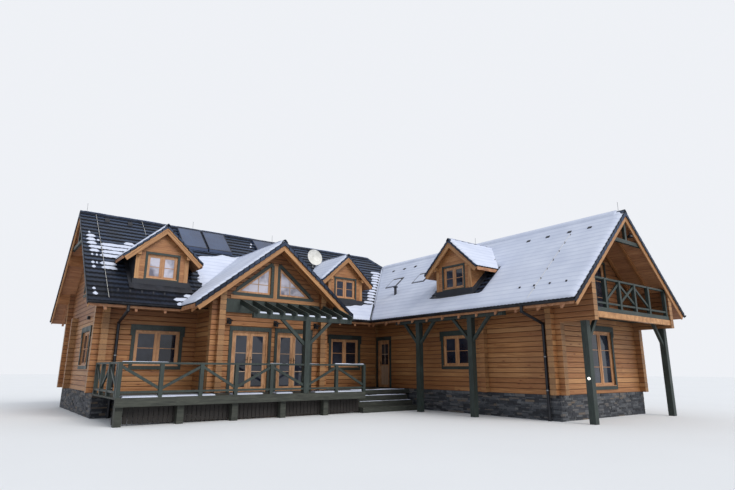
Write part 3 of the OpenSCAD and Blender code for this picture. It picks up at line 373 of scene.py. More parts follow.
PALE = ((132, 88, 52), (172, 124, 78), (200, 154, 104))
SOFFIT = ((128, 82, 56), (170, 120, 84), (194, 144, 106))
SASH = ((142, 98, 64), (180, 132, 92), (204, 158, 118))
WALL_BOARD = ((122, 74, 40), (160, 108, 64), (188, 138, 90))
GLASS = {"depth": 0.004, "strength": 0.25, "at": (0.38, 0.58), "IOR": 1.5, "Coat_Weight": 0.15,
         "Coat_Roughness": 0.02}
M = {
    "log_x": log_timber("log_timber_x", 0),
    "log_y": log_timber("log_timber_y", 1),
    "log_dormer": planed_timber("dormer_boards", *WALL_BOARD, scale=(5, 5, 24)),
    "planed": planed_timber("planed_timber", *PALE, scale=(7, 7, 7)),
    "planed_uv": planed_timber("planed_timber_boards", *PALE, of="UV", scale=(1.6, 26, 1)),
    "frame": planed_timber("window_timber", *SASH, scale=(8, 8, 3)),
    "frame_uv": planed_timber("window_timber_bars", *SASH, of="UV", scale=(2, 30, 1)),
    "bar": planed_timber("window_bars", (150, 120, 96), (184, 156, 132), (206, 184, 164),
                         of="UV", scale=(2, 30, 1)),
    "boards_uv": planed_timber("wall_boards", *WALL_BOARD, of="UV", scale=(1.4, 30, 1)),
    "floor": planed_timber("floor_boards", *PALE, rough=0.45),
    "soffit": planed_timber("soffit_boards", *SOFFIT, scale=(3, 9, 9)),
    "soffit_uv": planed_timber("soffit_board_strips", *SOFFIT, of="UV", scale=(1.4, 30, 1)),
    "green": green_paint("green_paint"),
    "green_flat": green_paint("green_paint_boards", (1.5, 14, 14)),
    "deck": weathered_boards("weathered_boards"),
    "deck_solid": weathered_boards("weathered_beams", "Object"),
    "skirt": weathered_boards("dark_slats", "UV", ((22, 19, 18), (36, 32, 30), (50, 45, 42))),
    "tile": roof_tile("roof_tile"),
    "stone": slate_stone("slate_stone"),
    "mortar": speckled("mortar", 0.9, 40, 4, (22, 23, 26), (44, 45, 48), 0.004),
    "metal": dark_metal("dark_metal"),
    "flashing": dark_metal("flashing", (20, 23, 32), 0.62, 0.1),
    "bare": dark_metal("bare_metal", (138, 140, 144), 0.35, 0.9),
    "brass": dark_metal("door_fittings", (58, 46, 32), 0.3, 0.9),
    "glass": speckled("window_glass", 0.04, 0.9, 3, (22, 26, 38), (48, 52, 64), **GLASS),
    "pale_glass": speckled("pale_window_glass", 0.04, 1.6, 3, (104, 102, 116), (192, 190, 204), **GLASS),
    "collector": collector_glass("collector_glass"),
    "snow": snow_cover("snow_cover"),
    "dish": speckled("dish_paint", 0.4, 6, 4, (200, 198, 190), (228, 226, 220), 0.001, 0.4),
    "glow": speckled("lamp_glow", 0.3, 20, 2, (0.85, 0.83, 0.78, 1), (0.95, 0.93, 0.88, 1),
                     Emission_Strength=2.0, Emission_Color=(1, 0.96, 0.88, 1)),
}

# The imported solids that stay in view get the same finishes
FINISH = {
    "mortar": "plinth",
    "floor": "ground_floor loft_floor",
    "log_x": "front_wall_left front_wall_right rear_wall right_gable_wall bay_piers bay_gable_wall",
    "log_y": ("left_gable_wall outer_wall inner_wall inner_wall_over_door bay_side_walls "
              "balcony_side_walls"),
    "soffit": "roof_deck_left_wing roof_deck_right_wing bay_roof_deck dormer_roof_decks",
    "log_dormer": "dormer_walls",
    "planed": "barge_boards balcony_beam",
    "metal": "gutters downpipes skylights",
    "frame": ("window_frames door_frames entrance_leaf french_leaf_1 french_leaf_2 french_leaf_3 "
              "french_leaf_4"),
    "glass": ("window_glass entrance_glass french_glass_1 french_glass_2 french_glass_3 "
              "french_glass_4"),
    "green": ("window_trims terrace_rails pergola_frame porch_frame balcony_rail balcony_posts "
              "gable_collars"),
    "green_flat": "pergola_rafters balcony_floor",
    "deck_solid": "terrace_frame landing terrace_floor",
    "tile": ("roof_tiles_front roof_tiles_rear roof_tiles_inner roof_tiles_outer bay_roof_tiles "
             "dormer_roof_tiles ridge_caps"),
    "collector": "solar_collectors",
    "dish": "satellite_dish",
    "bare": "lightning_rods",
}
for finish, names in FINISH.items():
    for name in names.split():
        for slot in nodes[name].material_slots:
            slot.material = M[finish]


# Mesh building


def ring_pairs(count):
    """Each number below count with the next one round."""
    return [(k, (k + 1) % count) for k in range(count)]


def circle(centre, side, top, radius, sides):
    return [centre + (side * math.cos(a) + top * math.sin(a)) * radius
            for a in [2 * math.pi * k / sides for k in range(sides)]]


def link(name, data):
    obj = bpy.data.objects.new(name, data)
    scene.collection.objects.link(obj)
    return obj


class Mesh:
    """Faces with a place along the grain and a tone, gathered for one piece."""

    def __init__(self):
        self.faces = []
        self.coords = []
        self.tones = []

    def add(self, points, tone=0.5, uv=None):
        self.faces.append([tuple(p) for p in points])
        if uv is None:
            a = Vector(points[0])
            along = (Vector(points[1]) - a).normalized()
            normal = along.cross(Vector(points[2]) - a).normalized()
            side = normal.cross(along)
            uv = [((Vector(p) - a).dot(along) + tone * 37, (Vector(p) - a).dot(side)) for p in points]
        self.coords.append(uv)
        self.tones.append(tone)

    def skin(self, rings):
        """Faces between rings of points, and over the first and the last one."""
        for one, two in zip(rings, rings[1:]):
            for k, n in ring_pairs(len(one)):
                self.add([one[k], one[n], two[n], two[k]])
        self.add(rings[0][::-1])
        self.add(rings[-1])

    def prism(self, start, end, section, end_scale=1.0):
        """A bar from start to end. The section's points are across and up from the line."""
        tone = random.random()
        a, b = Vector(start), Vector(end)
        way = (b - a).normalized()
        side = way.cross(Vector((0, 0, 1))).normalized()
        top = side.cross(way)
        ring_a = [a + side * x + top * y for x, y in section]
        ring_b = [b + side * x * end_scale + top * y * end_scale for x, y in section]
        near, far = tone * 37, tone * 37 + (b - a).length
        low = 0.0
        for i, j in ring_pairs(len(section)):
            high = low + (ring_a[j] - ring_a[i]).length
            self.add([ring_a[j], ring_b[j], ring_b[i], ring_a[i]], tone,
                     [(near, high), (far, high), (far, low), (near, low)])
            low = high
        self.add(ring_a, tone)
        self.add(ring_b[::-1], tone)

    def box(self, low, high, tone=None):
        """A plain block between two corners."""
        self.hexa([(x, y, z) for z in (low[2], high[2]) for y in (low[1], high[1])
                   for x in (low[0], high[0])], tone)

    def hexa(self, corners, tone=None):
        """A block between eight corners, counted by x, then by y, then by z."""
        tone = random.random() if tone is None else tone
        p = [Vector(c) for c in corners]
        middle = sum(p, Vector()) / 8
        for quad in ((0, 2, 3, 1), (4, 5, 7, 6), (0, 1, 5, 4), (1, 3, 7, 5), (3, 2, 6, 7), (2, 0, 4, 6)):
            face = [p[i] for i in quad]
            normal = (face[1] - face[0]).cross(face[2] - face[0])
            if normal.dot(sum(face, Vector()) / 4 - middle) < 0:
                face.reverse()
            longest = max(range(4), key=lambda i: (face[(i + 1) % 4] - face[i]).length)
            self.add(face[longest:] + face[:longest], tone)

    def tube(self, points, radius, sides=8):
        """A round bar along a line of points."""
        points = [Vector(p) for p in points]
        rings = []
        for i, p in enumerate(points):
            way = (points[min(i + 1, len(points) - 1)] - points[max(i - 1, 0)]).normalized()
            side = (side - way * side.dot(way) if rings else way.orthogonal()).normalized()
            rings.append(circle(p, side, way.cross(side), radius, sides))
        self.skin(rings)

    def turned(self, centre, axis, profile, sides=16):
        """A turned piece: profile points are distance along the axis and radius."""
        axis = Vector(axis)
        side = axis.orthogonal().normalized()
        self.skin([circle(Vector(centre) + axis * along, side, axis.cross(side), radius, sides)
                   for along, radius in profile])

    def piece(self, name, finish, replaces=(), body="house", smooth=False, merge=0.0004):
        """Makes the object, moved from the house frame to the shared one, and puts it on its body."""
        data = bpy.data.meshes.new(name)
        verts = [tuple(Vector(p) + SHIFT) for face in self.faces for p in face]
        number = iter(range(len(verts)))
        data.from_pydata(verts, [], [[next(number) for _ in face] for face in self.faces])
        uv = data.uv_layers.new(name="along_grain")
        uv.data.foreach_set("uv", [c for face in self.coords for pair in face for c in pair])
        tone = data.attributes.new("tone", "FLOAT", "CORNER")
        tone.data.foreach_set("value", [t for face, t in zip(self.faces, self.tones) for _ in face])
        made = bmesh.new()
        made.from_mesh(data)
        bmesh.ops.remove_doubles(made, verts=made.verts, dist=merge)
        bmesh.ops.dissolve_degenerate(made, edges=made.edges, dist=merge / 2)
        made.to_mesh(data)
        made.free()
        data.polygons.foreach_set("use_smooth", [smooth] * len(data.polygons))
        data.materials.append(M[finish])
        obj = link(name, data)
        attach(obj, body)
        if replaces:
            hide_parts(*replaces)
        return obj


# Roof slopes


def half_planes(plan):
    """Inward sides of a convex plan: (nu, nd, c) keeps nu*u + nd*d <= c."""
    area = sum(a[0] * b[1] - b[0] * a[1] for a, b in zip(plan, plan[1:] + plan[:1]))
    if area < 0:
        plan = plan[::-1]
    sides = []
    for a, b in zip(plan, plan[1:] + plan[:1]):
        length = math.hypot(b[0] - a[0], b[1] - a[1])
        nu, nd = (b[1] - a[1]) / length, (a[0] - b[0]) / length
        sides.append((nu, nd, nu * a[0] + nd * a[1]))
    return sides


def clip(face, side):
    """The part of a face on the inward side of one line in plan."""
    nu, nd, c = side
    out = []
    for p, q in zip(face, face[1:] + face[:1]):
        hp, hq = nu * p[0] + nd * p[1] - c, nu * q[0] + nd * q[1] - c
        if hp <= 1e-7:
            out.append(p)
        if (hp < -1e-7 and hq > 1e-7) or (hp > 1e-7 and hq < -1e-7):
            t = hp / (hp - hq)
            out.append(tuple(a + (b - a) * t for a, b in zip(p, q)))
    return out if len(out) > 2 else []


def clip_to(face, sides):
    """The part of a face within a convex plan."""
    for side in sides:
        face = clip(face, side)
    return face


class Slope:
    """One roof plane: a point on its eave, the way along the eave and the way up it, and its plan."""

    def __init__(self, origin, along, z0, rise, plans, holes=()):
        self.o = Vector(origin)
        self.along = Vector(along)
        self.up = Vector((-along[1], along[0]))
        self.z0, self.rise = z0, rise
        self.plans = [[self.local(p) for p in plan] for plan in plans]
        self.holes = [half_planes([self.local(p) for p in hole]) for hole in holes]

    def local(self, p):
        v = Vector(p) - self.o
        return v.dot(self.along), v.dot(self.up)

    def at(self, u, d, h=0.0):
        p = self.o + self.along * u + self.up * d
        return Vector((p.x, p.y, self.z0 + self.rise * d + h))

    def box(self, plan):
        us, ds = [p[0] for p in plan], [p[1] for p in plan]
        return min(us), max(us), min(ds), max(ds)

    def cut(self, faces, plan):
        """Faces clipped to one plan and cut out at the holes."""
        sides = half_planes(plan)
        parts = [face for face in (clip_to(face, sides) for face in faces) if face]
        for hole in self.holes:
            parts = [bit for part in parts for bit in subtract(part, hole)]
        return parts


def subtract(face, hole):
    """The parts of a face that are left round a convex hole."""
    out = []
    for nu, nd, c in hole:
        outside = clip(face, (-nu, -nd, -c))
        if outside:
            out.append(outside)
        face = clip(face, (nu, nd, c))
        if not face:
            break
    return out


def at_eave(side, place, x, y):
    """House place of a point that is drawn against a front eave."""
    return Vector({"front": (place + x, y), "inner": (y, place - x), "outer": (RIGHT_WIDTH - y, place + x),
                   "rear": (place - x, LEFT_DEPTH - y)}[side])


def dormer_hole(side, place, half, y0, y1):
    return [at_eave(side, place, x, y) for x, y in ((-half, y0), (half, y0), (half, y1), (-half, y1))]


HOLE_HALF, HOLE_BACK = HALF_W - 0.12, DORMER_BACK - HALF_W - 0.1
holes = {side: [dormer_hole(s, p, HOLE_HALF, DORMER_FACE + 0.12, HOLE_BACK)
                for s, p in DORMERS if s == side] for side in ("front", "inner", "outer", "rear")}
holes["front"].append([(BAY_X - BAY_HALF, 0), (BAY_X + BAY_HALF, 0), (BAY_X, BAY_BACK)])
holes["inner"] += [[(a, b), (c, b), (c, d), (a, d)] for a, b, c, d in SKYLIGHTS]
GAP = 0.05
CORNER_GAP = GAP * 1.41
ON_HIP = (HALF_RIGHT, LEFT_DEPTH - HALF_RIGHT)
main = {
    "front": Slope((0, 0), (1, 0), EAVE, PITCH, [
        [(-LEFT, 0), (-CORNER_GAP, 0), (HALF_RIGHT - GAP, HALF_RIGHT + GAP), HIP_LEFT, (-LEFT, HALF_LEFT)]],
        holes["front"]),
    "rear": Slope((0, LEFT_DEPTH), (-1, 0), EAVE, PITCH, [
        [(-LEFT, HALF_LEFT), HIP_LEFT, HIP_LOW, (-LEFT, LEFT_DEPTH)]], holes["rear"]),
    "inner": Slope((0, 0), (0, -1), EAVE, PITCH, [
        [(0, -CORNER_GAP), (0, -RIGHT), (HALF_RIGHT, -RIGHT), (HALF_RIGHT, HALF_RIGHT - CORNER_GAP)]],
        holes["inner"]),
    "outer": Slope((RIGHT_WIDTH, 0), (0, 1), EAVE, PITCH, [
        [(HALF_RIGHT, -RIGHT), (RIGHT_WIDTH, -RIGHT), HIP_LOW, ON_HIP],
        [HIP_LEFT, HIP_RIGHT, ON_HIP]], holes["outer"]),
}
bay = [
    Slope((BAY_X - BAY_HALF, 0), (0, -1), EAVE, BAY_PITCH, [
        [(BAY_X - BAY_HALF, BAY_VERGE), (BAY_X, BAY_VERGE), (BAY_X, BAY_BACK), (BAY_X - BAY_HALF, 0)]]),
    Slope((BAY_X + BAY_HALF, 0), (0, 1), EAVE, BAY_PITCH, [
        [(BAY_X, BAY_VERGE), (BAY_X + BAY_HALF, BAY_VERGE), (BAY_X + BAY_HALF, 0), (BAY_X, BAY_BACK)]]),
]


def dormer_slope(side, place, hand):
    """One slope of a dormer roof. Hand is -1 for the slope on the left and 1 on the right."""
    front = DORMER_FACE - DORMER_VERGE
    low = (DORMER_EAVE - EAVE) / PITCH
    plan = [at_eave(side, place, hand * x, y) for x, y in
            ((DORMER_HALF, front), (0, front), (0, DORMER_BACK), (DORMER_HALF, low))]
    along = at_eave(side, 0, 0, hand) - at_eave(side, 0, 0, 0)
    return Slope(at_eave(side, place, hand * DORMER_HALF, 0), along, DORMER_EAVE, PITCH, [plan])


dormer_slopes = [(hand, dormer_slope(side, place, hand))
                 for side, place in DORMERS for hand in (-1, 1)]

# Roof tiles: each course lies on the one below, with two soft rolls to a tile
TILE_W = 0.30
TILE_FRONT, TILE_BACK, TILE_FLOOR = -0.022, -0.046, -0.06
ROLL = [(0.0, 0.0), (0.07, 0.005), (0.2, 0.008), (0.33, 0.005), (0.42, 0.0), (0.5, 0.0), (0.57, 0.005),
        (0.7, 0.008), (0.83, 0.005), (0.92, 0.0), (1.0, 0.0)]


def tile_rows(slope, mesh):
    for plan in slope.plans:
        u0, u1, d0, d1 = slope.box(plan)
        for row in range(math.ceil((d1 - d0) / GAUGE)):
            low, high = d0 + row * GAUGE, d0 + (row + 1) * GAUGE
            foot, roll = (TILE_BACK, 1) if row else (TILE_FLOOR, 0)
            for column in range(math.floor(u0 / TILE_W), math.ceil(u1 / TILE_W)):
                tone = random.random()
                front = TILE_FRONT + random.uniform(-0.001, 0.001)
                edges = [((column + s) * TILE_W, h) for s, h in ROLL]
                faces = []
                for (ua, ha), (ub, hb) in zip(edges, edges[1:]):
                    faces.append([(ua, low, front + ha), (ub, low, front + hb), (ub, high, TILE_BACK + hb),
                                  (ua, high, TILE_BACK + ha)])
                    faces.append([(ua, low, foot + roll * ha), (ub, low, foot + roll * hb),
                                  (ub, low, front + hb), (ua, low, front + ha)])
                for face in slope.cut(faces, plan):
                    mesh.add([slope.at(*p) for p in face], tone, [(p[0], p[1]) for p in face])


layers = [(name, "roof_tiles_" + name, [slope]) for name, slope in main.items()]
layers += [("bay", "bay_roof_tiles", bay),
           ("dormers", "dormer_roof_tiles", [slope for hand, slope in dormer_slopes])]
for name, node, slopes in layers:
    mesh = Mesh()
    for slope in slopes:
        tile_rows(slope, mesh)
    mesh.piece("tiles_" + name, "tile", [node], merge=0.0002)


def slab(mesh, slope, u0, u1, d0, d1, h0, h1, tone=None):
    """A block that lies on a slope, between two heights above its surface."""
    mesh.hexa([slope.at(u, d, h) for h in (h0, h1) for d in (d0, d1) for u in (u0, u1)], tone)


# Every gable edge: slope, its end in the slope's own run, the way in from it,
# the length up the slope, and 1 for a dormer
verges = [
    (main["front"], -LEFT, 1, HALF_LEFT, 0), (main["rear"], LEFT, -1, HALF_LEFT, 0),
    (main["inner"], RIGHT, -1, HALF_RIGHT, 0), (main["outer"], -RIGHT, 1, HALF_RIGHT, 0),
    (bay[0], -BAY_VERGE, -1, BAY_HALF, 0), (bay[1], BAY_VERGE, 1, BAY_HALF, 0),
] + [(slope, hand * (DORMER_FACE - DORMER_VERGE), hand, DORMER_HALF, 1)
     for hand, slope in dormer_slopes]
VERGE_IN, BARGE_T, VERGE_W = 0.025, 0.05, 0.023
verge_tiles = Mesh()
barges = Mesh()
for slope, edge, way, long, small in verges:
    depth = 0.10 if small else 0.17
    for row in range(math.ceil(long / GAUGE - 0.02)):
        low, high = row * GAUGE, min((row + 1) * GAUGE + 0.02, long)
        verge_tiles.hexa([slope.at(u, d, top - drop) for drop in (depth, 0)
                          for d, top in ((low, -0.001), (high, -0.027))
                          for u in (edge, edge + way * VERGE_W)])
    under = 0.05 if small else 0.06
    full = 0.29 if small else 0.32
    rise = slope.rise
    foot = rise / (1 + rise * rise)
    a, b = edge + way * VERGE_IN, edge + way * (VERGE_IN + BARGE_T)
    split = full * 0.5
    for high, low, front in ((0, split - 0.004, a), (split, full, a + way * 0.012)):
        barges.hexa([slope.at(u, d, -under - h) for h in (low, high) for d in (foot * h, long - 0.001)
                     for u in (front, b)])
    barges.hexa([slope.at(u, d, -under - h) for h in (split, split - 0.004)
                 for d in (foot * h + 0.002, long - 0.001) for u in (a + way * 0.02, b)])
verge_tiles.piece("verge_tiles", "tile")
barges.piece("barge_boards_pairs", "planed_uv", ["barge_boards"])


def ridge_tiles(mesh, start, end, half, drop, length=0.36):
    """Overlapping ridge tiles from one end to the other."""
    a, b = Vector(start), Vector(end)
    count = max(1, round((b - a).length / length))
    outer = [(-half, -drop), (-half * 0.55, -drop * 0.4), (-half * 0.2, 0), (half * 0.2, 0),
             (half * 0.55, -drop * 0.4), (half, -drop)]
    inner = [(half - 0.016, -drop), (half * 0.5, -drop * 0.42 - 0.016), (0, -0.018),
             (-half * 0.5, -drop * 0.42 - 0.016), (-half + 0.016, -drop)]
    for i in range(count):
        p, q = a.lerp(b, i / count), a.lerp(b, min(1, (i + 1.1) / count))
        mesh.prism(p + Vector((0, 0, 0.018)), q, outer + inner, end_scale=0.92)


ridges = Mesh()
for start, end, half, drop in (
        ((-LEFT + 0.009, HALF_LEFT, RIDGE_LEFT_Z + 0.026), (*HIP_LEFT, RIDGE_LEFT_Z + 0.026), 0.14, 0.15),
        ((HALF_RIGHT, -RIGHT + 0.009, RIDGE_RIGHT_Z + 0.026), (*HIP_RIGHT, RIDGE_RIGHT_Z + 0.026),
         0.14, 0.15),
        ((*HIP_RIGHT, RIDGE_RIGHT_Z + 0.02), (*HIP_LEFT, RIDGE_LEFT_Z + 0.02), 0.13, 0.11),
        ((*HIP_LOW, EAVE + 0.02), (*HIP_LEFT, RIDGE_LEFT_Z + 0.02), 0.13, 0.11)):
    ridge_tiles(ridges, start, end, half, drop)
ridges.piece("ridge_tiles", "tile", ["ridge_caps"])
small_ridges = Mesh()
ridge_tiles(small_ridges, (BAY_X, BAY_VERGE, BAY_TOP + 0.02), (BAY_X, BAY_BACK, BAY_TOP + 0.02), 0.12, 0.12)
for side, place in DORMERS:
    a = at_eave(side, place, 0, DORMER_FACE - DORMER_VERGE)
    b = at_eave(side, place, 0, DORMER_BACK)
    ridge_tiles(small_ridges, (*a, DORMER_TOP + 0.02), (*b, DORMER_TOP + 0.02), 0.10, 0.11)
small_ridges.piece("ridge_tiles_small", "tile")

# Sheet in the valley between the wings
valley = Mesh()
line = [Vector((0, 0, EAVE - 0.052)), Vector((*HIP_RIGHT, RIDGE_RIGHT_Z - 0.052))]
for shift in (Vector((-0.15, 0, 0)), Vector((0, -0.15, 0))):
    valley.hexa([p + side + Vector((0, 0, h)) for h in (-0.004, 0) for side in (Vector(), shift)
                 for p in line])
valley.piece("valley_sheet", "flashing")


# Sheet round the feet of the dormers, and the boards of their fronts
def dormer_point(dormer, x, y, z):
    """House place of a point that is drawn from a dormer's front."""
    return Vector((*at_eave(*dormer, x, DORMER_FACE + y), z))


def dormer_box(mesh, dormer, x0, x1, y0, y1, z0, z1):
    mesh.hexa([dormer_point(dormer, x, y, z) for z in (z0, z1) for y in (y0, y1) for x in (x0, x1)])


def sheet(dormer, xs, ys, heights):
    """Sheet metal that follows the roof round a dormer."""
    aprons.hexa([dormer_point(dormer, x, y, DORMER_FOOT + PITCH * y + h)
                 for h in heights for y in ys for x in xs])


aprons = Mesh()
fronts = Mesh()
posts = Mesh()
WIN_HALF, WIN_LOW, WIN_HIGH = 0.525, EAVE + 0.97, EAVE + 1.84
DORMER_FOOT = EAVE + PITCH * DORMER_FACE
POST_TOP = DORMER_EAVE - 0.19 + PITCH * (DORMER_HALF - HALF_W)
CHEEK_BACK, CHEEK_TOP = 1.26, 5.6
BOARD_GAUGE, BOARD_HIGH = 0.139, 0.135
for dormer in DORMERS:
    sheet(dormer, (-HALF_W - 0.16, HALF_W + 0.16), (-0.26, -0.002), (-0.002, 0.02))
    dormer_box(aprons, dormer, -HALF_W - 0.05, HALF_W + 0.05, -0.05, -0.032, DORMER_FOOT - 0.02,
               DORMER_FOOT + 0.16)
    for hand in (-1, 1):
        inner = hand * (HALF_W + 0.002)
        sheet(dormer, (inner, hand * (HALF_W + 0.16)), (-0.26, 1.5), (-0.002, 0.018))
        sheet(dormer, (inner, hand * (HALF_W + 0.014)), (-0.03, 1.45), (0.0, 0.15))
        if dormer == LEFT_DORMER:
            aprons.hexa([dormer_point(dormer, x, y, CHEEK_TOP if high else DORMER_FOOT + PITCH * y)
                         for high in (0, 1) for y in (0.002, CHEEK_BACK)
                         for x in (inner, hand * (HALF_W + 0.012))])
        x = hand * (HALF_W - 0.075)
        dormer_box(posts, dormer, x - 0.075, x + 0.075, -0.03, -0.001, DORMER_FOOT + 0.15, POST_TOP)
        dormer_box(posts, dormer, x - 0.06, x + 0.06, -0.19, -0.03, POST_TOP - 0.17, POST_TOP - 0.03)
        z = DORMER_FOOT + 0.17
        while z < WIN_HIGH + 0.05:
            dormer_box(fronts, dormer, hand * (WIN_HALF + 0.085), hand * (HALF_W - 0.152), -0.018, -0.001,
                       z, min(z + BOARD_HIGH, WIN_HIGH + 0.08))
            z += BOARD_GAUGE
    dormer_box(fronts, dormer, -WIN_HALF - 0.08, WIN_HALF + 0.08, -0.018, -0.001, DORMER_FOOT + 0.16,
               WIN_LOW - 0.084)
    z = WIN_HIGH + 0.084
    while z < DORMER_TOP - 0.3:
        rows = [(h, min(HALF_W - 0.002, DORMER_HALF - (h - DORMER_EAVE + 0.185) / PITCH))
                for h in (z, z + BOARD_HIGH)]
        if rows[1][1] < 0.03:
            break
        fronts.hexa([dormer_point(dormer, s * w, y, h)
                     for h, w in rows for y in (-0.02, -0.001) for s in (-1, 1)])
        z += BOARD_GAUGE
aprons.piece("dormer_aprons", "flashing")
fronts.piece("dormer_front_boards", "boards_uv")
posts.piece("dormer_corner_posts", "planed_uv")


# Boards and rafters under the eaves and verges
def plates(mesh, slope, u0, u1, d0, d1, h0, h1):
    """A flat block between two heights under a slope, cut to its plan."""
    tone = random.random()
    face = clip_to([(u0, d0), (u1, d0), (u1, d1), (u0, d1)], half_planes(slope.plans[0]))
    if not face:
        return
    low, high = ([slope.at(u, d, h) for u, d in face] for h in (h0, h1))
    mesh.add(high, tone, face)
    mesh.add(low[::-1], tone, face[::-1])
    for i, j in ring_pairs(len(face)):
        mesh.add([low[i], low[j], high[j], high[i]], tone, [face[i], face[j], face[j], face[i]])


SOFFIT_TOP, SOFFIT_LOW, RAFTER_LOW = -ROOF_T - 0.001, -ROOF_T - 0.014, -ROOF_T - 0.13
BOARD = 0.14
soffits = Mesh()
rafters = Mesh()
gable_rafters = Mesh()


def eave_boards(slope, u0, u1, deep):
    for row in range(math.ceil(deep / BOARD)):
        plates(soffits, slope, u0, u1, row * BOARD + 0.01, min((row + 1) * BOARD + 0.004, deep),
               SOFFIT_LOW, SOFFIT_TOP)
    count = max(1, round((u1 - u0) / 0.85))
    for i in range(count):
        u = u0 + (i + 0.5) * (u1 - u0) / count
        plates(rafters, slope, u - 0.04, u + 0.04, 0.03, deep, RAFTER_LOW, SOFFIT_LOW)


def verge_boards(slope, inner_edge, outer_edge, d0, d1, rafter_at):
    u0, u1 = sorted((inner_edge, outer_edge))
    for row in range(math.floor((d1 - d0) / BOARD)):
        low = d0 + row * BOARD
        slab(soffits, slope, u0, u1, low + 0.003, low + 0.137, SOFFIT_LOW, SOFFIT_TOP)
    for u in rafter_at:
        slab(gable_rafters, slope, u - 0.04, u + 0.04, d0, d1, RAFTER_LOW, SOFFIT_LOW)


for name, u0, u1, deep in (("front", -LEFT + 0.08, BAY_X - BAY_HALF - 0.02, OVER),
                           ("front", BAY_X + BAY_HALF + 0.02, OVER, OVER),
                           ("inner", -OVER, RIGHT - 0.08, OVER), ("rear", -RIGHT_WIDTH, LEFT - 0.08, OVER),
                           ("outer", -RIGHT + 0.08, LEFT_DEPTH, OUTER_OVER)):
    eave_boards(main[name], u0, u1, deep - 0.005)
for key, sign, face, edge in (("front", 1, LEFT_FACE, -LEFT), ("rear", -1, -LEFT_FACE, LEFT)):
    verge_boards(main[key], face - sign * 0.002, edge + sign * 0.08, OVER, HALF_LEFT - 0.12, [])
    for d in (OVER + 0.02, 2.75):
        slab(gable_rafters, main[key], *sorted((face, edge + sign * 0.08)), d, d + 0.16, -ROOF_T - 0.28,
             SOFFIT_LOW)
for key, sign, face, edge, low in (("inner", -1, -GABLE_FACE, RIGHT, OVER),
                                   ("outer", 1, GABLE_FACE, -RIGHT, OUTER_OVER)):
    verge_boards(main[key], face - sign * 0.002, edge + sign * 0.08, low + WALL, HALF_RIGHT - 0.12,
                 [edge + sign * 0.70, edge + sign * 1.40])
for slope, sign in ((bay[0], -1), (bay[1], 1)):
    verge_boards(slope, sign * (BAY_FACE - 0.002), sign * (BAY_VERGE + 0.08), 0.02, BAY_HALF - 0.12,
                 [sign * (BAY_VERGE + 0.38)])
soffits.piece("soffit_boards", "soffit_uv")
rafters.piece("eave_rafters", "soffit_uv")
gable_rafters.piece("gable_rafters", "boards_uv")


# Lying snow
def wave(x, y, scale, seed=0.0):
    return noise.noise(Vector((x * scale + seed, y * scale - seed, seed * 0.7)))


def smooth(value, low, high):
    t = min(1.0, max(0.0, (value - low) / (high - low)))
    return t * t * (3 - 2 * t)


def front_cover(x, y):
    ragged = 0.12 * wave(x, y, 2.3, 3.0)
    fringe = 0.22 * wave(math.floor(y / GAUGE) * 1.7, 0, 1.9, 4.0)
    cover = 0.0
    if y < 3.1 and x < BAY_X - BAY_HALF * (1 - y / BAY_BACK) + 0.1:
        cover = smooth(x + 7.2 + fringe, -0.1, 0.06)
        cover *= smooth(2.66 + 0.18 * (x + 7) - y + ragged, -0.03, 0.08) * smooth(y, 0.95, 1.05)
    top = 0.70 + 0.16 * (x + 0.8)
    return max(cover, smooth(min(top - y + ragged, x + 2.6), -0.03, 0.08))


def inner_cover(x, y):
    bare = smooth(min(x - 0.70, 2.05 - x, 1.42 - abs(y + 4.22)), -0.07, 0.07)
    lower = 0.74 + 0.10 * smooth(y, -3.6, -2.7)
    bare = bare if x > lower else bare * smooth(x, lower - 0.1, lower)
    return 1.0 - bare + 0.05 * wave(x, y, 1.3, 5.0)


def far_cover(x, y):
    cover = 1.0 + 0.05 * wave(x, y, 1.1, 2.0)
    for side, place in DORMERS:
        if side in ("rear", "outer"):
            across = abs((x if side == "rear" else y) - place)
            up = LEFT_DEPTH - y if side == "rear" else RIGHT_WIDTH - x
            cover -= smooth(min(1.42 - across, up - 0.72, 2.05 - up), -0.07, 0.07)
    return cover


def full_cover(x, y):
    return 1.0 + 0.08 * wave(x, y, 2.0, 1.0)


def grid(low, high, cell):
    count = max(1, round((high - low - 0.1) / cell))
    return [low, low + 0.025] + [low + 0.05 + (high - low - 0.1) * i / count for i in range(count + 1)] + [
        high - 0.025, high]


def snow_field(mesh, slope, cover, verge_at, cell=0.13, lift=0.045):
    """A layer of snow on a slope, as thick as its cover and thin at the eave and the verge."""
    for plan in slope.plans:
        u0, u1, d0, d1 = slope.box(plan)
        us, ds = grid(u0, u1, cell), grid(d0, d1, GAUGE / 4)
        table = {}
        for i, u in enumerate(us):
            for j, d in enumerate(ds):
                p = slope.at(u, d)
                v = max(0.0, min(1.15, cover(p.x, p.y)))
                v *= smooth(d, -0.01, 0.06) * smooth(abs(u - verge_at), 0.02, 0.09)
                course = 0.012 * ((d / GAUGE) % 1 - 0.5)
                soft = 0.004 * wave(p.x, p.y, 1.7, 7.0)
                table[i, j] = v, -0.058 + (0.058 + lift) * v + (soft - course) * min(1.0, v)
        for i in range(len(us) - 1):
            for j in range(len(ds) - 1):
                keys = ((i, j), (i + 1, j), (i + 1, j + 1), (i, j + 1))
                if max(table[k][0] for k in keys) < 0.12:
                    continue
                face = [(us[a], ds[b], table[a, b][1]) for a, b in keys]
                for part in slope.cut([face], plan):
                    mesh.add([slope.at(*p) for p in part], 0.5, [(p[0], p[1]) for p in part])


for name, cover, edge in (("front", front_cover, -LEFT), ("inner", inner_cover, RIGHT),
                          ("rear", far_cover, LEFT), ("outer", far_cover, -RIGHT)):
    mesh = Mesh()
    snow_field(mesh, main[name], cover, edge)
    mesh.piece("snow_" + name, "snow", smooth=True, merge=0.0002)


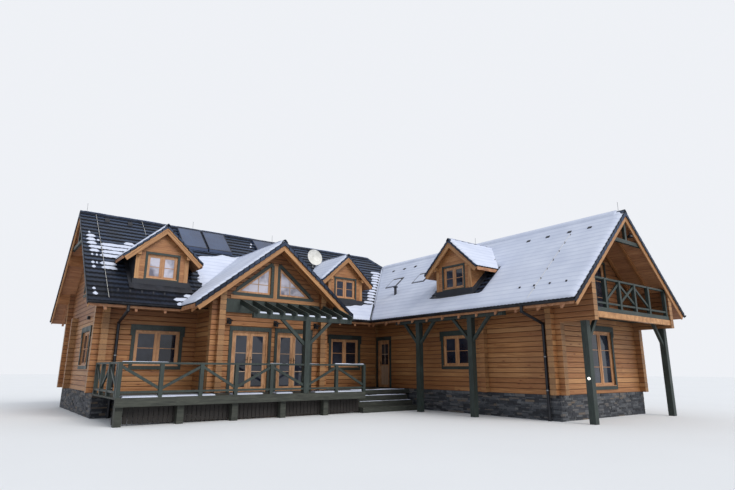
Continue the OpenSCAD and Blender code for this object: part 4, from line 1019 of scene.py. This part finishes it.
def streak(mesh, slope, row, u0, u1):
    """A bar of snow along one course, with soft ends and a ragged foot."""
    count = max(3, math.ceil((u1 - u0) / 0.05))
    rings = []
    for i in range(count + 1):
        u = u0 + (u1 - u0) * i / count
        full = smooth(min(i, count - i), -0.6, 2.2)
        low = 0.10 + 0.10 * wave(u, row, 4.0, 2.0) + 0.2 * (1 - full)
        high = 0.72 + 0.12 * wave(u, row, 3.0, 6.0) - 0.2 * (1 - full)
        shape = ((low, -0.03), (low + 0.05, 0.006), ((low + high) / 2, 0.02), (high - 0.06, 0.01),
                 (high, -0.03))
        rings.append([slope.at(u, (row + s) * GAUGE, (h + 0.03) * full - 0.03) for s, h in shape])
    for one, two in zip(rings, rings[1:]):
        for k in range(len(shape) - 1):
            mesh.add([one[k], two[k], two[k + 1], one[k + 1]], 0.5)


streaks = Mesh()
STREAKS = [(16, -11.02, -10.94), (15, -11.09, -10.77), (14, -11.10, -10.79), (14, -10.76, -10.64),
           (14, -9.81, -9.42), (13, -11.10, -10.77), (13, -10.65, -9.45), (12, -11.06, -9.5),
           (11, -11.04, -10.71), (11, -10.64, -9.6), (10, -11.0, -10.92), (10, -10.85, -10.78),
           (10, -10.71, -10.0), (8, -11.02, -10.91), (8, -10.87, -10.81), (8, -10.74, -10.2),
           (7, -11.01, -10.89), (7, -10.71, -10.2), (2, -11.07, -10.97), (1, -11.07, -10.92),
           (2, -8.12, -7.80), (1, -8.52, -7.95), (0, -8.45, -8.2), (12, -7.15, -6.9), (11, -7.35, -7.0),
           (9, -7.4, -7.0), (7, -7.35, -7.0), (5, -7.3, -7.0), (19, -4.21, -4.12), (20, -4.1, -4.0)]
for row in range(5, 17):
    y = (row + 0.4) * GAUGE
    start = y - 0.62 + 0.2 * wave(row, 0, 2.1, 8.0)
    STREAKS.append((row, max(start, 0.35), y - 0.07))
for row, u0, u1 in STREAKS:
    streak(streaks, main["front"], row, u0, u1)
streaks.piece("snow_streaks", "snow", smooth=True, merge=0.0002)
mesh = Mesh()
snow_field(mesh, bay[0], full_cover, -BAY_VERGE, 0.1, lift=0.06)
snow_field(mesh, bay[1], full_cover, BAY_VERGE, 0.1, lift=0.06)
for hand, slope in dormer_slopes:
    snow_field(mesh, slope, full_cover, hand * (DORMER_FACE - DORMER_VERGE), 0.09, lift=0.05)
mesh.piece("snow_gables", "snow", smooth=True, merge=0.0002)


HEAP = [(-1, 0), (-0.92, 0.55), (-0.55, 0.93), (0, 1), (0.55, 0.93), (0.92, 0.55), (1, 0)]


def snow_strip(mesh, start, end, width, height, seed, melt=0.0, droop=0.0):
    """A long rounded heap of snow on an edge, broken where it has melted."""
    a, b = Vector(start), Vector(end)
    side = (b - a).cross(Vector((0, 0, 1))).normalized()
    count = max(2, math.ceil((b - a).length / 0.05))
    run = []
    for i in range(count + 1):
        soft = noise.noise(Vector((i * 0.065 + seed, seed * 1.7, 0)))
        fine = noise.noise(Vector((i * 0.3 + seed, seed, 3)))
        size = min(1.0, max(0.0, 0.75 + soft * 0.9 + fine * 0.25 - melt))
        size *= smooth(min(i, count - i), -0.3, 1.5)
        if size > 0.15:
            run.append([a.lerp(b, i / count) + side * (x * width / 2 * (0.75 + 0.25 * size))
                        + Vector((0, 0, y * height * size - droop * abs(x))) for x, y in HEAP])
        if size <= 0.15 or i == count:
            if len(run) > 1:
                mesh.skin(run)
            run = []


caps = Mesh()
for start, end, *rest in (
        ((-LEFT + 0.1, HALF_LEFT - 0.03, RIDGE_LEFT_Z + 0.035), (*HIP_LEFT, RIDGE_LEFT_Z + 0.035),
         0.11, 0.04, 1.0, 0.25),
        ((HALF_RIGHT, -RIGHT + 0.25, RIDGE_RIGHT_Z + 0.012), (*HIP_RIGHT, RIDGE_RIGHT_Z + 0.012),
         0.44, 0.085, 2.0, -0.8, 0.20),
        ((0.06, 0.06, EAVE - 0.03), (HALF_RIGHT - 0.1, HALF_RIGHT - 0.1, RIDGE_RIGHT_Z - 0.12),
         0.20, 0.045, 8.0, -0.6),
        ((*HIP_LEFT, RIDGE_LEFT_Z + 0.03), (*HIP_LOW, EAVE + 0.05), 0.14, 0.045, 3.0, -0.2),
        ((BAY_X, BAY_VERGE + 0.2, BAY_TOP + 0.03), (BAY_X, BAY_BACK, BAY_TOP + 0.03), 0.12, 0.03, 4.0, 0.1),
        (main["rear"].at(LEFT - 0.05, 0.1, 0.03), main["rear"].at(LEFT - 0.05, HALF_LEFT - 0.1, 0.03),
         0.09, 0.07, 7.7, -0.6)):
    snow_strip(caps, start, end, *rest)
for n, (side, place) in enumerate(DORMERS):
    a, b = (at_eave(side, place, 0, y) for y in (DORMER_FACE - DORMER_VERGE + 0.15, DORMER_BACK))
    snow_strip(caps, (*a, DORMER_TOP + 0.03), (*b, DORMER_TOP + 0.03), 0.10, 0.03, 5.0 + n, 0.2)
caps.piece("snow_ridges", "snow", smooth=True)

# Split slate on the stone base
PLINTH_IN = 0.03
corners = [(LEFT_FACE, OVER), (BAY_LEFT, OVER), (BAY_LEFT, BAY_FACE), (BAY_RIGHT, BAY_FACE),
           (BAY_RIGHT, OVER), (OVER, OVER), (OVER, GABLE_FACE), (RIGHT_FACE, GABLE_FACE),
           (RIGHT_FACE, REAR_FACE), (LEFT_FACE, REAR_FACE)]
stone = Mesh()
for (ax, ay), (bx, by) in zip(corners, corners[1:] + corners[:1]):
    a, b = Vector((ax, ay, 0)), Vector((bx, by, 0))
    way = (b - a).normalized()
    out = Vector((way.y, -way.x, 0))
    long = (b - a).length
    z = 0.0
    while z < FLOOR - 0.02:
        tall = min(random.uniform(0.035, 0.085), FLOOR - z)
        if FLOOR - z - tall < 0.03:
            tall = FLOOR - z
        u = 0.0
        while u < long:
            wide = min(random.uniform(0.12, 0.46), long - u)
            if long - u - wide < 0.1:
                wide = long - u
            deep = random.uniform(0.004, 0.026)
            u0, u1 = u + 0.002, u + wide - 0.002
            z0, z1 = z + 0.002, z + tall - 0.002
            spots = [a + way * s + Vector((0, 0, h)) for s, h in ((u0, z0), (u1, z0), (u1, z1), (u0, z1))]
            face = [p + out * (deep - PLINTH_IN + random.uniform(-0.004, 0.004)) for p in spots]
            mid = sum(face, Vector()) / 4 + out * random.uniform(-0.004, 0.006)
            rear = [p - out * (PLINTH_IN + 0.004) for p in spots]
            tone = random.random()
            for i, j in ring_pairs(4):
                stone.add([face[i], face[j], mid], tone)
                stone.add([rear[i], rear[j], face[j], face[i]], tone)
            u += wide
        z += tall
stone.piece("slate_facing", "stone")

# Each wall's outer face: a point on it, the way along it and the way in
WALLS = {"front": ((0, OVER), (1, 0), (0, 1)), "bay": ((0, BAY_FACE), (1, 0), (0, 1)),
         "right_gable": ((0, GABLE_FACE), (1, 0), (0, 1)), "inner": ((OVER, 0), (0, -1), (1, 0)),
         "left_gable": ((LEFT_FACE, 0), (0, -1), (1, 0)), "rear": ((0, REAR_FACE), (-1, 0), (0, -1)),
         "outer": ((RIGHT_FACE, 0), (0, 1), (-1, 0))}


def on_wall(wall, u, z, depth):
    """House place of a point on a wall's outer face, with depth into the wall."""
    if wall in DORMERS:
        return dormer_point(wall, u, depth, z)
    spot, along, inward = (Vector(v) for v in WALLS[wall])
    return Vector((*(spot + along * u + inward * depth), z))


def wall_box(mesh, wall, u0, u1, z0, z1, d0, d1):
    mesh.hexa([on_wall(wall, u, z, d) for z in (z0, z1) for d in (d0, d1) for u in (u0, u1)])


# Window sashes and bars: each window is given by its wall, its ends along it, its heights and its bars
SILL, HEAD = 1.6625, 2.88
FRAME_W, POST_W = 0.07, 0.11
WINDOWS = [("front", -9.45, -7.93, SILL, HEAD, 1), ("front", -1.34, 0.13, SILL, HEAD, 1),
           ("inner", 3.28, 4.65, SILL + 0.05, HEAD, 1), ("right_gable", 3.12, 4.63, 1.04, 2.93, 2),
           ("right_gable", 2.85, 4.65, 3.52, 5.47, 2), ("left_gable", -4.20, -2.75, SILL, HEAD, 1),
           ("left_gable", -5.065, -3.665, 4.42, 5.52, 1)]
WINDOWS += [("rear", u, u + 1.45, SILL, HEAD, 1) for u in (-5.2, -1.9, 1.4, 4.7, 8.0)]
WINDOWS += [("outer", u, u + 1.45, SILL, HEAD, 1) for u in (-6.3, -2.4, 1.5, 5.0)]
WINDOWS += [(dormer, -WIN_HALF, WIN_HALF, WIN_LOW, WIN_HIGH, 1) for dormer in DORMERS]
sashes = Mesh()
for wall, u0, u1, z0, z1, bars in WINDOWS:
    light = (u1 - u0 - 2 * FRAME_W - POST_W) / 2
    middle = (u0 + u1) / 2
    sash = 0.032 if wall in DORMERS else 0.045
    for start in (u0 + FRAME_W, u0 + FRAME_W + light + POST_W):
        a, b, low, high = start + 0.001, start + light - 0.001, z0 + 0.071, z1 - 0.071
        for box in ((a, a + sash, low, high), (b - sash, b, low, high),
                    (a + sash, b - sash, low, low + sash), (a + sash, b - sash, high - sash, high)):
            wall_box(sashes, wall, *box, 0.046, 0.0625)
        for i in range(bars):
            z = low + (high - low) * (i + 1) / (bars + 1)
            wall_box(sashes, wall, a + sash, b - sash, z - 0.011, z + 0.011, 0.050, 0.0625)
    wall_box(sashes, wall, middle - 0.018, middle + 0.018, z0 + 0.071, z1 - 0.071, 0.026, 0.0395)
    wall_box(sashes, wall, u0 - 0.01, u1 + 0.01, z0 + 0.002, z0 + 0.03, -0.04, 0.0395)
sashes.piece("window_sashes", "frame_uv")
panes = Mesh()
light = WIN_HALF - FRAME_W - POST_W / 2
for start in (-WIN_HALF + FRAME_W, POST_W / 2):
    wall_box(panes, LEFT_DORMER, start + 0.001, start + light - 0.001, WIN_LOW + 0.071, WIN_HIGH - 0.071,
             0.0590, 0.0615)

# The two triangles of the bay: bars, wide green boards, the post between and the tie beam below
BAY_TRI_IN, BAY_TRI_W, BAY_TRI_SILL = 0.19, 1.335, 4.23
glazing = Mesh()
trims = Mesh()
timbers = Mesh()
BAY_TRI_H = BAY_TRI_W * BAY_PITCH
BAR_X, TRIM_W = 0.46, 0.115
CORNERS = [(0.071, 0.071), (1.132, 0.071), (0.071, 0.920)]


def tri(hand, x, z, depth):
    return on_wall("bay", BAY_X + hand * (BAY_TRI_IN + x), BAY_TRI_SILL + z, depth)


def tri_box(mesh, hand, x0, x1, z0, z1, d0, d1):
    mesh.hexa([tri(hand, x, z, d) for z in (z0, z1) for d in (d0, d1) for x in (x0, x1)])


for hand in (-1, 1):
    tri_box(glazing, hand, BAR_X - 0.015, BAR_X + 0.015, 0.07, BAY_TRI_H - BAY_PITCH * BAR_X - 0.09,
            0.048, 0.0625)
    tri_box(glazing, hand, 0.07, (BAY_TRI_H - 0.36) / BAY_PITCH - 0.11, 0.345, 0.375, 0.050, 0.0625)
    rear, face = ([tri(hand, x, z, d) for x, z in CORNERS[::hand]] for d in (0.0615, 0.0590))
    panes.add(face)
    panes.add(rear[::-1])
    for i, j in ring_pairs(3):
        panes.add([face[i], rear[i], rear[j], face[j]])
    tri_box(trims, hand, -TRIM_W, -0.004, -TRIM_W, BAY_TRI_H + 0.05, -0.03, -0.001)
    tri_box(trims, hand, -0.003, BAY_TRI_W + 0.10, -TRIM_W, -0.004, -0.031, -0.001)
    trims.hexa([tri(hand, x, z0 + lift, d) for x, z0 in ((0.0, BAY_TRI_H), (BAY_TRI_W, 0.0))
                for d in (-0.0325, -0.001) for lift in (0.006, TRIM_W * math.hypot(1, BAY_PITCH))])
tri_half = BAY_TRI_IN - 0.119
timbers.hexa([on_wall("bay", BAY_X + x, z, d) for z in (BAY_TRI_SILL - 0.12, BAY_TRI_SILL + 1.12)
              for d in (-0.034, -0.001) for x in (-tri_half, tri_half)])
timbers.box((-6.93, BAY_FACE - 0.045, 3.985), (-3.27, BAY_FACE - 0.001, 4.112))
glazing.piece("bay_window_bars", "bar")
panes.piece("pale_panes", "pale_glass")
trims.piece("bay_window_trims", "green_flat")
timbers.piece("bay_post_and_beam", "planed_uv")

# Bars and handles of the doors, each on its own leaf
LEAVES = [(-6.694, -6.0755), (-6.0645, -5.446), (-4.954, -4.3355), (-4.3245, -3.706)]
GLAZED_LOW, GLAZED_HIGH, GRIP_Z = 0.975, 2.718, 1.90
for i, (x0, x1) in enumerate(LEAVES):
    body = f"terrace_door_{i + 1}"
    bars = Mesh()
    for z in (2.12, 1.49):
        bars.box((x0 + 0.096, -0.7885, z - 0.012), (x1 - 0.096, -0.779, z + 0.012))
    for x in (x0 + 0.096, x1 - 0.110):
        bars.box((x, -0.7885, GLAZED_LOW), (x + 0.014, -0.779, GLAZED_HIGH))
    bars.piece(f"terrace_door_bars_{i + 1}", "bar", body=body)
    grip, way = (x0 + 0.045, 1) if i % 2 else (x1 - 0.045, -1)
    handle = Mesh()
    handle.box((grip - 0.014, -0.7955, 1.78), (grip + 0.014, -0.7895, 1.99))
    handle.tube([(grip + way * across, y, GRIP_Z) for across, y in
                 ((0, -0.794), (0, -0.815), (0.012, -0.819), (0.11, -0.819))], 0.0075)
    handle.piece(f"terrace_door_handle_{i + 1}", "brass", body=body)

# The entrance door: planks on its panel, bars on its glass and a handle
DOOR_X = OVER + 0.06
DOOR_LOW, DOOR_HIGH = 0.143, 0.847
PLANK = (DOOR_HIGH - DOOR_LOW - 0.22) / 6
middle = (DOOR_LOW + DOOR_HIGH) / 2
planks = Mesh()
for i in range(6):
    a = DOOR_LOW + 0.11 + i * PLANK
    planks.box((DOOR_X - 0.007, a, 0.92), (DOOR_X - 0.0005, a + PLANK - 0.004, 1.76))
planks.box((DOOR_X + 0.003, middle - 0.014, 1.80), (DOOR_X + 0.0125, middle + 0.014, 2.70))
planks.box((DOOR_X + 0.004, DOOR_LOW + 0.11, 2.24), (DOOR_X + 0.0125, DOOR_HIGH - 0.11, 2.268))
planks.piece("entrance_door_planks", "bar", body="entrance_door")
handle = Mesh()
handle.box((DOOR_X - 0.006, 0.775, 1.72), (DOOR_X - 0.0005, 0.805, 1.94))
handle.tube([(DOOR_X - 0.003, 0.79, 1.86), (DOOR_X - 0.032, 0.79, 1.86), (DOOR_X - 0.036, 0.78, 1.86),
             (DOOR_X - 0.036, 0.68, 1.86)], 0.008)
handle.piece("entrance_door_handle", "brass", body="entrance_door")

# Boards of the terrace, the landing and the balcony, and the dark slats under the terrace
boards = Mesh()
DECK_LEFT, DECK_RIGHT, DECK_FRONT = -10.6, -2.0, -2.25


def board_rows(x0, x1, y0, y1, z, wide=0.14):
    count = max(1, round((y1 - y0) / wide))
    step = (y1 - y0) / count
    for i in range(count):
        boards.hexa([(x, y, h) for h in (z + 0.0005, z + 0.006)
                     for y in (y0 + i * step + 0.004, y0 + (i + 1) * step - 0.004) for x in (x0, x1)])


board_rows(DECK_LEFT, DECK_RIGHT, DECK_FRONT, BAY_FACE - 0.21, DECK)
board_rows(DECK_LEFT, BAY_LEFT - 0.22, BAY_FACE - 0.21, OVER - 0.02, DECK)
board_rows(BAY_RIGHT + 0.22, DECK_RIGHT, BAY_FACE - 0.21, OVER - 0.21, DECK)
board_rows(DECK_RIGHT + 0.02, 0.91, -1.19, OVER - 0.22, DECK)
board_rows(OVER + WALL + 0.01, RIGHT_FACE - WALL - 0.01, -9.68, GABLE_FACE - 0.01, 3.52)
boards.piece("floor_board_rows", "deck")
slats = Mesh()
for x in range(61):
    a = DECK_LEFT + 0.05 + x * 0.14
    slats.box((a, -1.86, 0.05), (a + 0.125, -1.84, 0.572))
slats.piece("terrace_slats", "skirt")
# Green strips above and below the pergola ledger make it taller and stand in for the shade on the wall
# between the rafters: painted shade as dark boards.
ledger = Mesh()
for low, high in ((3.50, 3.599), (3.871, 3.965)):
    ledger.box((-7.12, -0.928, low), (-3.28, -0.852, high), 0.5)
ledger.piece("pergola_ledger_and_shade_boards", "green_flat")

# Wall lamps, one lamp under the right collar and a round glowing one at the balcony
lamps = Mesh()
glows = Mesh()
SHADE = [(0, 0.02), (0.04, 0.10), (0.07, 0.125), (0.075, 0.04)]
for x in (-6.95, -5.15, -3.43):
    lamps.box((x - 0.05, BAY_FACE - 0.02, 3.10), (x + 0.05, BAY_FACE - 0.001, 3.30))
    lamps.tube([(x, BAY_FACE - 0.015, 3.18), (x, BAY_FACE - 0.08, 3.27), (x, BAY_FACE - 0.16, 3.28),
                (x, BAY_FACE - 0.19, 3.24)], 0.014)
    lamps.turned((x, BAY_FACE - 0.19, 3.25), (0, 0, -1), SHADE)
    lamps.turned((x, BAY_FACE - 0.19, 3.18), (0, 0, -1), [(0, 0.055), (0.11, 0.045), (0.115, 0.01)])
lamps.box((LEFT_FACE - 0.09, 3.2, 3.32), (LEFT_FACE - 0.001, 3.32, 3.44))
lamps.tube([(HALF_RIGHT + 0.35, -9.70, 6.40), (HALF_RIGHT + 0.35, -9.70, 6.28)], 0.012)
lamps.turned((HALF_RIGHT + 0.35, -9.70, 6.29), (0, 0, -1),
             [(0, 0.02), (0.05, 0.09), (0.12, 0.10), (0.13, 0.03)])
lamps.box((1.125, -9.39, 1.30), (1.158, -9.33, 1.37))
lamps.piece("wall_lamps", "metal")
glows.turned((1.135, -9.36, 1.335), (-1, 0, 0), [(0, 0.025), (0.012, 0.038), (0.03, 0.043), (0.048, 0.036),
                                                 (0.06, 0.012)])
glows.piece("post_lamp", "glow")

# Brackets under the gutters and pale rings on the downpipes
brackets = Mesh()
w, h, chamfer = 0.0125, 0.0025, 0.0015
BRACKET = [(w, chamfer - h), (w, h - chamfer), (w - chamfer, h), (chamfer - w, h), (-w, h - chamfer),
           (-w, chamfer - h), (chamfer - w, -h), (w - chamfer, -h)]
for side, start, end in (("front", -11.1, -8.45), ("front", -1.95, -0.2), ("inner", 9.7, 0.2),
                         ("rear", -7.3, 11.1), ("outer", -9.7, 8.6)):
    count = round(abs(end - start) / 0.8)
    for i in range(count + 1):
        u = start + (end - start) * i / count
        brackets.prism(*[(*at_eave(side, 0, u, y), EAVE - 0.044) for y in (-0.148, -0.002)], BRACKET)
brackets.piece("gutter_brackets", "flashing")
PIPE_R, PIPE_OFF = 0.05, 0.095
clamps = Mesh()
for side, along, out in (("front", LEFT_FACE + WALL + 0.31, OVER),
                         ("inner", -GABLE_FACE - WALL - 0.16, OVER),
                         ("rear", -LEFT_FACE - WALL - 0.10, OVER), ("rear", WALL + 0.25 - RIGHT_FACE, OVER),
                         ("outer", GABLE_FACE + WALL + 0.16, OUTER_OVER)):
    for z in (0.93, 1.99):
        spot = at_eave(side, 0, along, out - PIPE_OFF)
        clamps.turned((*spot, z), (0, 0, 1), [(0, PIPE_R), (0, PIPE_R + 0.006), (0.03, PIPE_R + 0.006),
                                              (0.03, PIPE_R)], 20)
clamps.piece("downpipe_clamps", "bare")

# Conductor wires of the roofs with their holders, snow guards and vent tiles
wires = Mesh()
holders = Mesh()


def roof_wire(slope, path, h=0.045):
    points = []
    for (ua, da), (ub, db) in zip(path, path[1:]):
        count = max(1, math.ceil(math.hypot(ub - ua, db - da) / 0.45))
        for i in range(count):
            t = i / count
            points.append(slope.at(ua + (ub - ua) * t, da + (db - da) * t, h + (0.006 if i % 2 else 0)))
            holders.turned(points[-1] - Vector((0, 0, h)), (0, 0, 1),
                           [(0, 0.028), (h, 0.014), (h + 0.014, 0.012)], 8)
    points.append(slope.at(*path[-1], h))
    wires.tube(points, 0.0055, 6)


roof_wire(main["front"], [(-10.67, HALF_LEFT - 0.1), (-10.63, 2.0), (-10.62, 0.06)])
roof_wire(main["front"], [(-8.92, HALF_LEFT - 0.05), (-8.90, 3.44)])
roof_wire(main["inner"], [(8.1, 2.96), (8.1, 0.08)], 0.075)
wires.piece("conductor_wires", "dish")
for name, spots, half, d0, d1, h0, h1 in (
        ("front", (-10.3, -9.925, -9.55, -9.175, -8.8), 0.025, 0.43, 0.46, -0.02, 0.05),
        ("inner", (7.45, 8.02, 8.61, 9.2), 0.03, 0.58, 0.62, 0.0, 0.085),
        ("inner", (6.19, 7.06, 7.97, 8.77, -2.1, -1.25, -0.43), 0.075, 3.09, 3.17, 0.0, 0.07),
        ("front", (-10.28, -9.42), 0.09, 3.98, 4.12, -0.02, 0.05)):
    for u in spots:
        slab(holders, main[name], u - half, u + half, d0, d1, h0, h1)
vent = main["inner"].at(0.1, 1.35, 0)
holders.turned(vent, (0, 0, 1), [(0, 0.06), (0.36, 0.06), (0.361, 0.11), (0.40, 0.12), (0.43, 0.05)], 12)
holders.piece("roof_holders_and_vents", "flashing")

# Frames of the collectors
rims = Mesh()
for x in (-7.49, -6.40, -3.97, -2.88):
    y0, y1 = 3.02, 4.175
    for u0, u1, d0, d1 in ((x, x + 1.03, y0, y0 + 0.03), (x, x + 1.03, y1 - 0.03, y1),
                           (x, x + 0.03, y0 + 0.03, y1 - 0.03), (x + 1.0, x + 1.03, y0 + 0.03, y1 - 0.03)):
        slab(rims, main["front"], u0, u1, d0, d1, 0.121, 0.130)
rims.piece("collector_rims", "metal")

# Snow on the rails, the edges of the terrace and the steps, the pergola and the skylights
drifts = Mesh()
RAIL_Z = DECK + 0.98
ON_DECK = DECK + 0.004
strips = [
    (-3.4, -2.02, -2.19, RAIL_Z, 0.075, 0.03, 1.3, -0.1),
    (-10.55, -9.2, -2.19, RAIL_Z, 0.07, 0.022, 2.3, 0.25),
    (-6.0, -4.0, -2.19, RAIL_Z, 0.07, 0.022, 3.3, 0.35),
    (-10.5, -8.9, -2.22, ON_DECK, 0.06, 0.022, 3.9, 0.2),
    (-1.98, 0.9, -1.17, ON_DECK, 0.09, 0.035, 4.1, -0.1), (-1.95, 0.7, -1.46, 0.586, 0.08, 0.03, 5.1, -0.05),
    (-1.95, 0.7, -1.76, 0.391, 0.08, 0.028, 6.1, 0.1), (1.5, 2.6, -9.63, 4.50, 0.06, 0.022, 7.1, 0.1),
]
strips += [(a, b, -2.02, ON_DECK, 0.36, 0.055, a, -0.7)
           for a, b in ((-10.45, -7.7), (-7.2, -6.1), (-5.7, -5.0), (-4.2, -2.08))]
strips += [(0.474 * i - 6.49, 0.474 * i - 6.12, -2.16, 3.391, 0.12, 0.06, 9.0 + i, -0.5) for i in range(8)]
for x0, x1, y, z, *rest in strips:
    snow_strip(drifts, (x0, y, z), (x1, y, z), *rest)
for x0, y0, x1, y1 in SKYLIGHTS:
    slab(drifts, main["inner"], -y1 + 0.10, -y0 - 0.10, x0 + 0.02, x1 - 0.13, 0.062, 0.105, 0.5)
drifts.piece("snow_drifts", "snow")

# Camera at the photographer's place
camera_data = bpy.data.cameras.new("camera")
camera_data.lens = 25.16
camera_data.sensor_width = 36
camera_data.clip_end = 500
camera = link("camera", camera_data)
scene.camera = camera
HEADING, TILT, ROLL_ANGLE = math.radians(52.53), math.radians(13.64), math.radians(0.24)
camera.location = Vector((-14.04, -18.04, 1.57)) + SHIFT
camera.rotation_mode = "QUATERNION"
look = Vector((math.cos(HEADING) * math.cos(TILT), math.sin(HEADING) * math.cos(TILT), math.sin(TILT)))
camera.rotation_quaternion = look.to_track_quat("-Z", "Y") @ Quaternion((0, 0, 1), ROLL_ANGLE)

# Floor, lamps and world
floor_mesh = bpy.data.meshes.new("floor")
size = 150
floor_mesh.from_pydata([(-size, -size, 0), (size, -size, 0), (size, size, 0), (-size, size, 0)], [],
                       [(0, 1, 2, 3)])
floor = link("floor", floor_mesh)
pale = speckled("pale_floor", 0.9, 0.2, 2, (0.78, 0.79, 0.81, 1), (0.80, 0.81, 0.83, 1))
floor_mesh.materials.append(pale)
floor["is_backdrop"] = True

sun_data = bpy.data.lights.new("key", "SUN")
sun_data.energy = 2.05
sun_data.angle = math.radians(35)
sun_data.color = (1.0, 0.97, 0.92)
sun = link("key", sun_data)
sun.rotation_mode = "QUATERNION"
sun.rotation_quaternion = Vector((-0.12, 0.75, -0.62)).to_track_quat("-Z", "Y")

world = bpy.data.worlds.new("studio")
world.use_nodes = True
scene.world = world
tree = world.node_tree
light = tree.nodes["Background"]
light.inputs["Color"].default_value = (0.86, 0.92, 1.0, 1)
light.inputs["Strength"].default_value = 0.68
seen = tree.nodes.new("ShaderNodeBackground")
seen.inputs["Color"].default_value = (0.86, 0.88, 0.92, 1)
path = tree.nodes.new("ShaderNodeLightPath")
share = path.outputs["Is Camera Ray"]
for ray in ("Is Glossy Ray", "Is Transmission Ray"):
    either = tree.nodes.new("ShaderNodeMath")
    either.operation = "MAXIMUM"
    tree.links.new(share, either.inputs[0])
    tree.links.new(path.outputs[ray], either.inputs[1])
    share = either.outputs[0]
blend = tree.nodes.new("ShaderNodeMixShader")
for number, socket in enumerate((share, light.outputs[0], seen.outputs[0])):
    tree.links.new(socket, blend.inputs[number])
tree.links.new(blend.outputs[0], tree.nodes["World Output"].inputs[0])

scene.view_settings.view_transform = "Standard"

low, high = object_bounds()
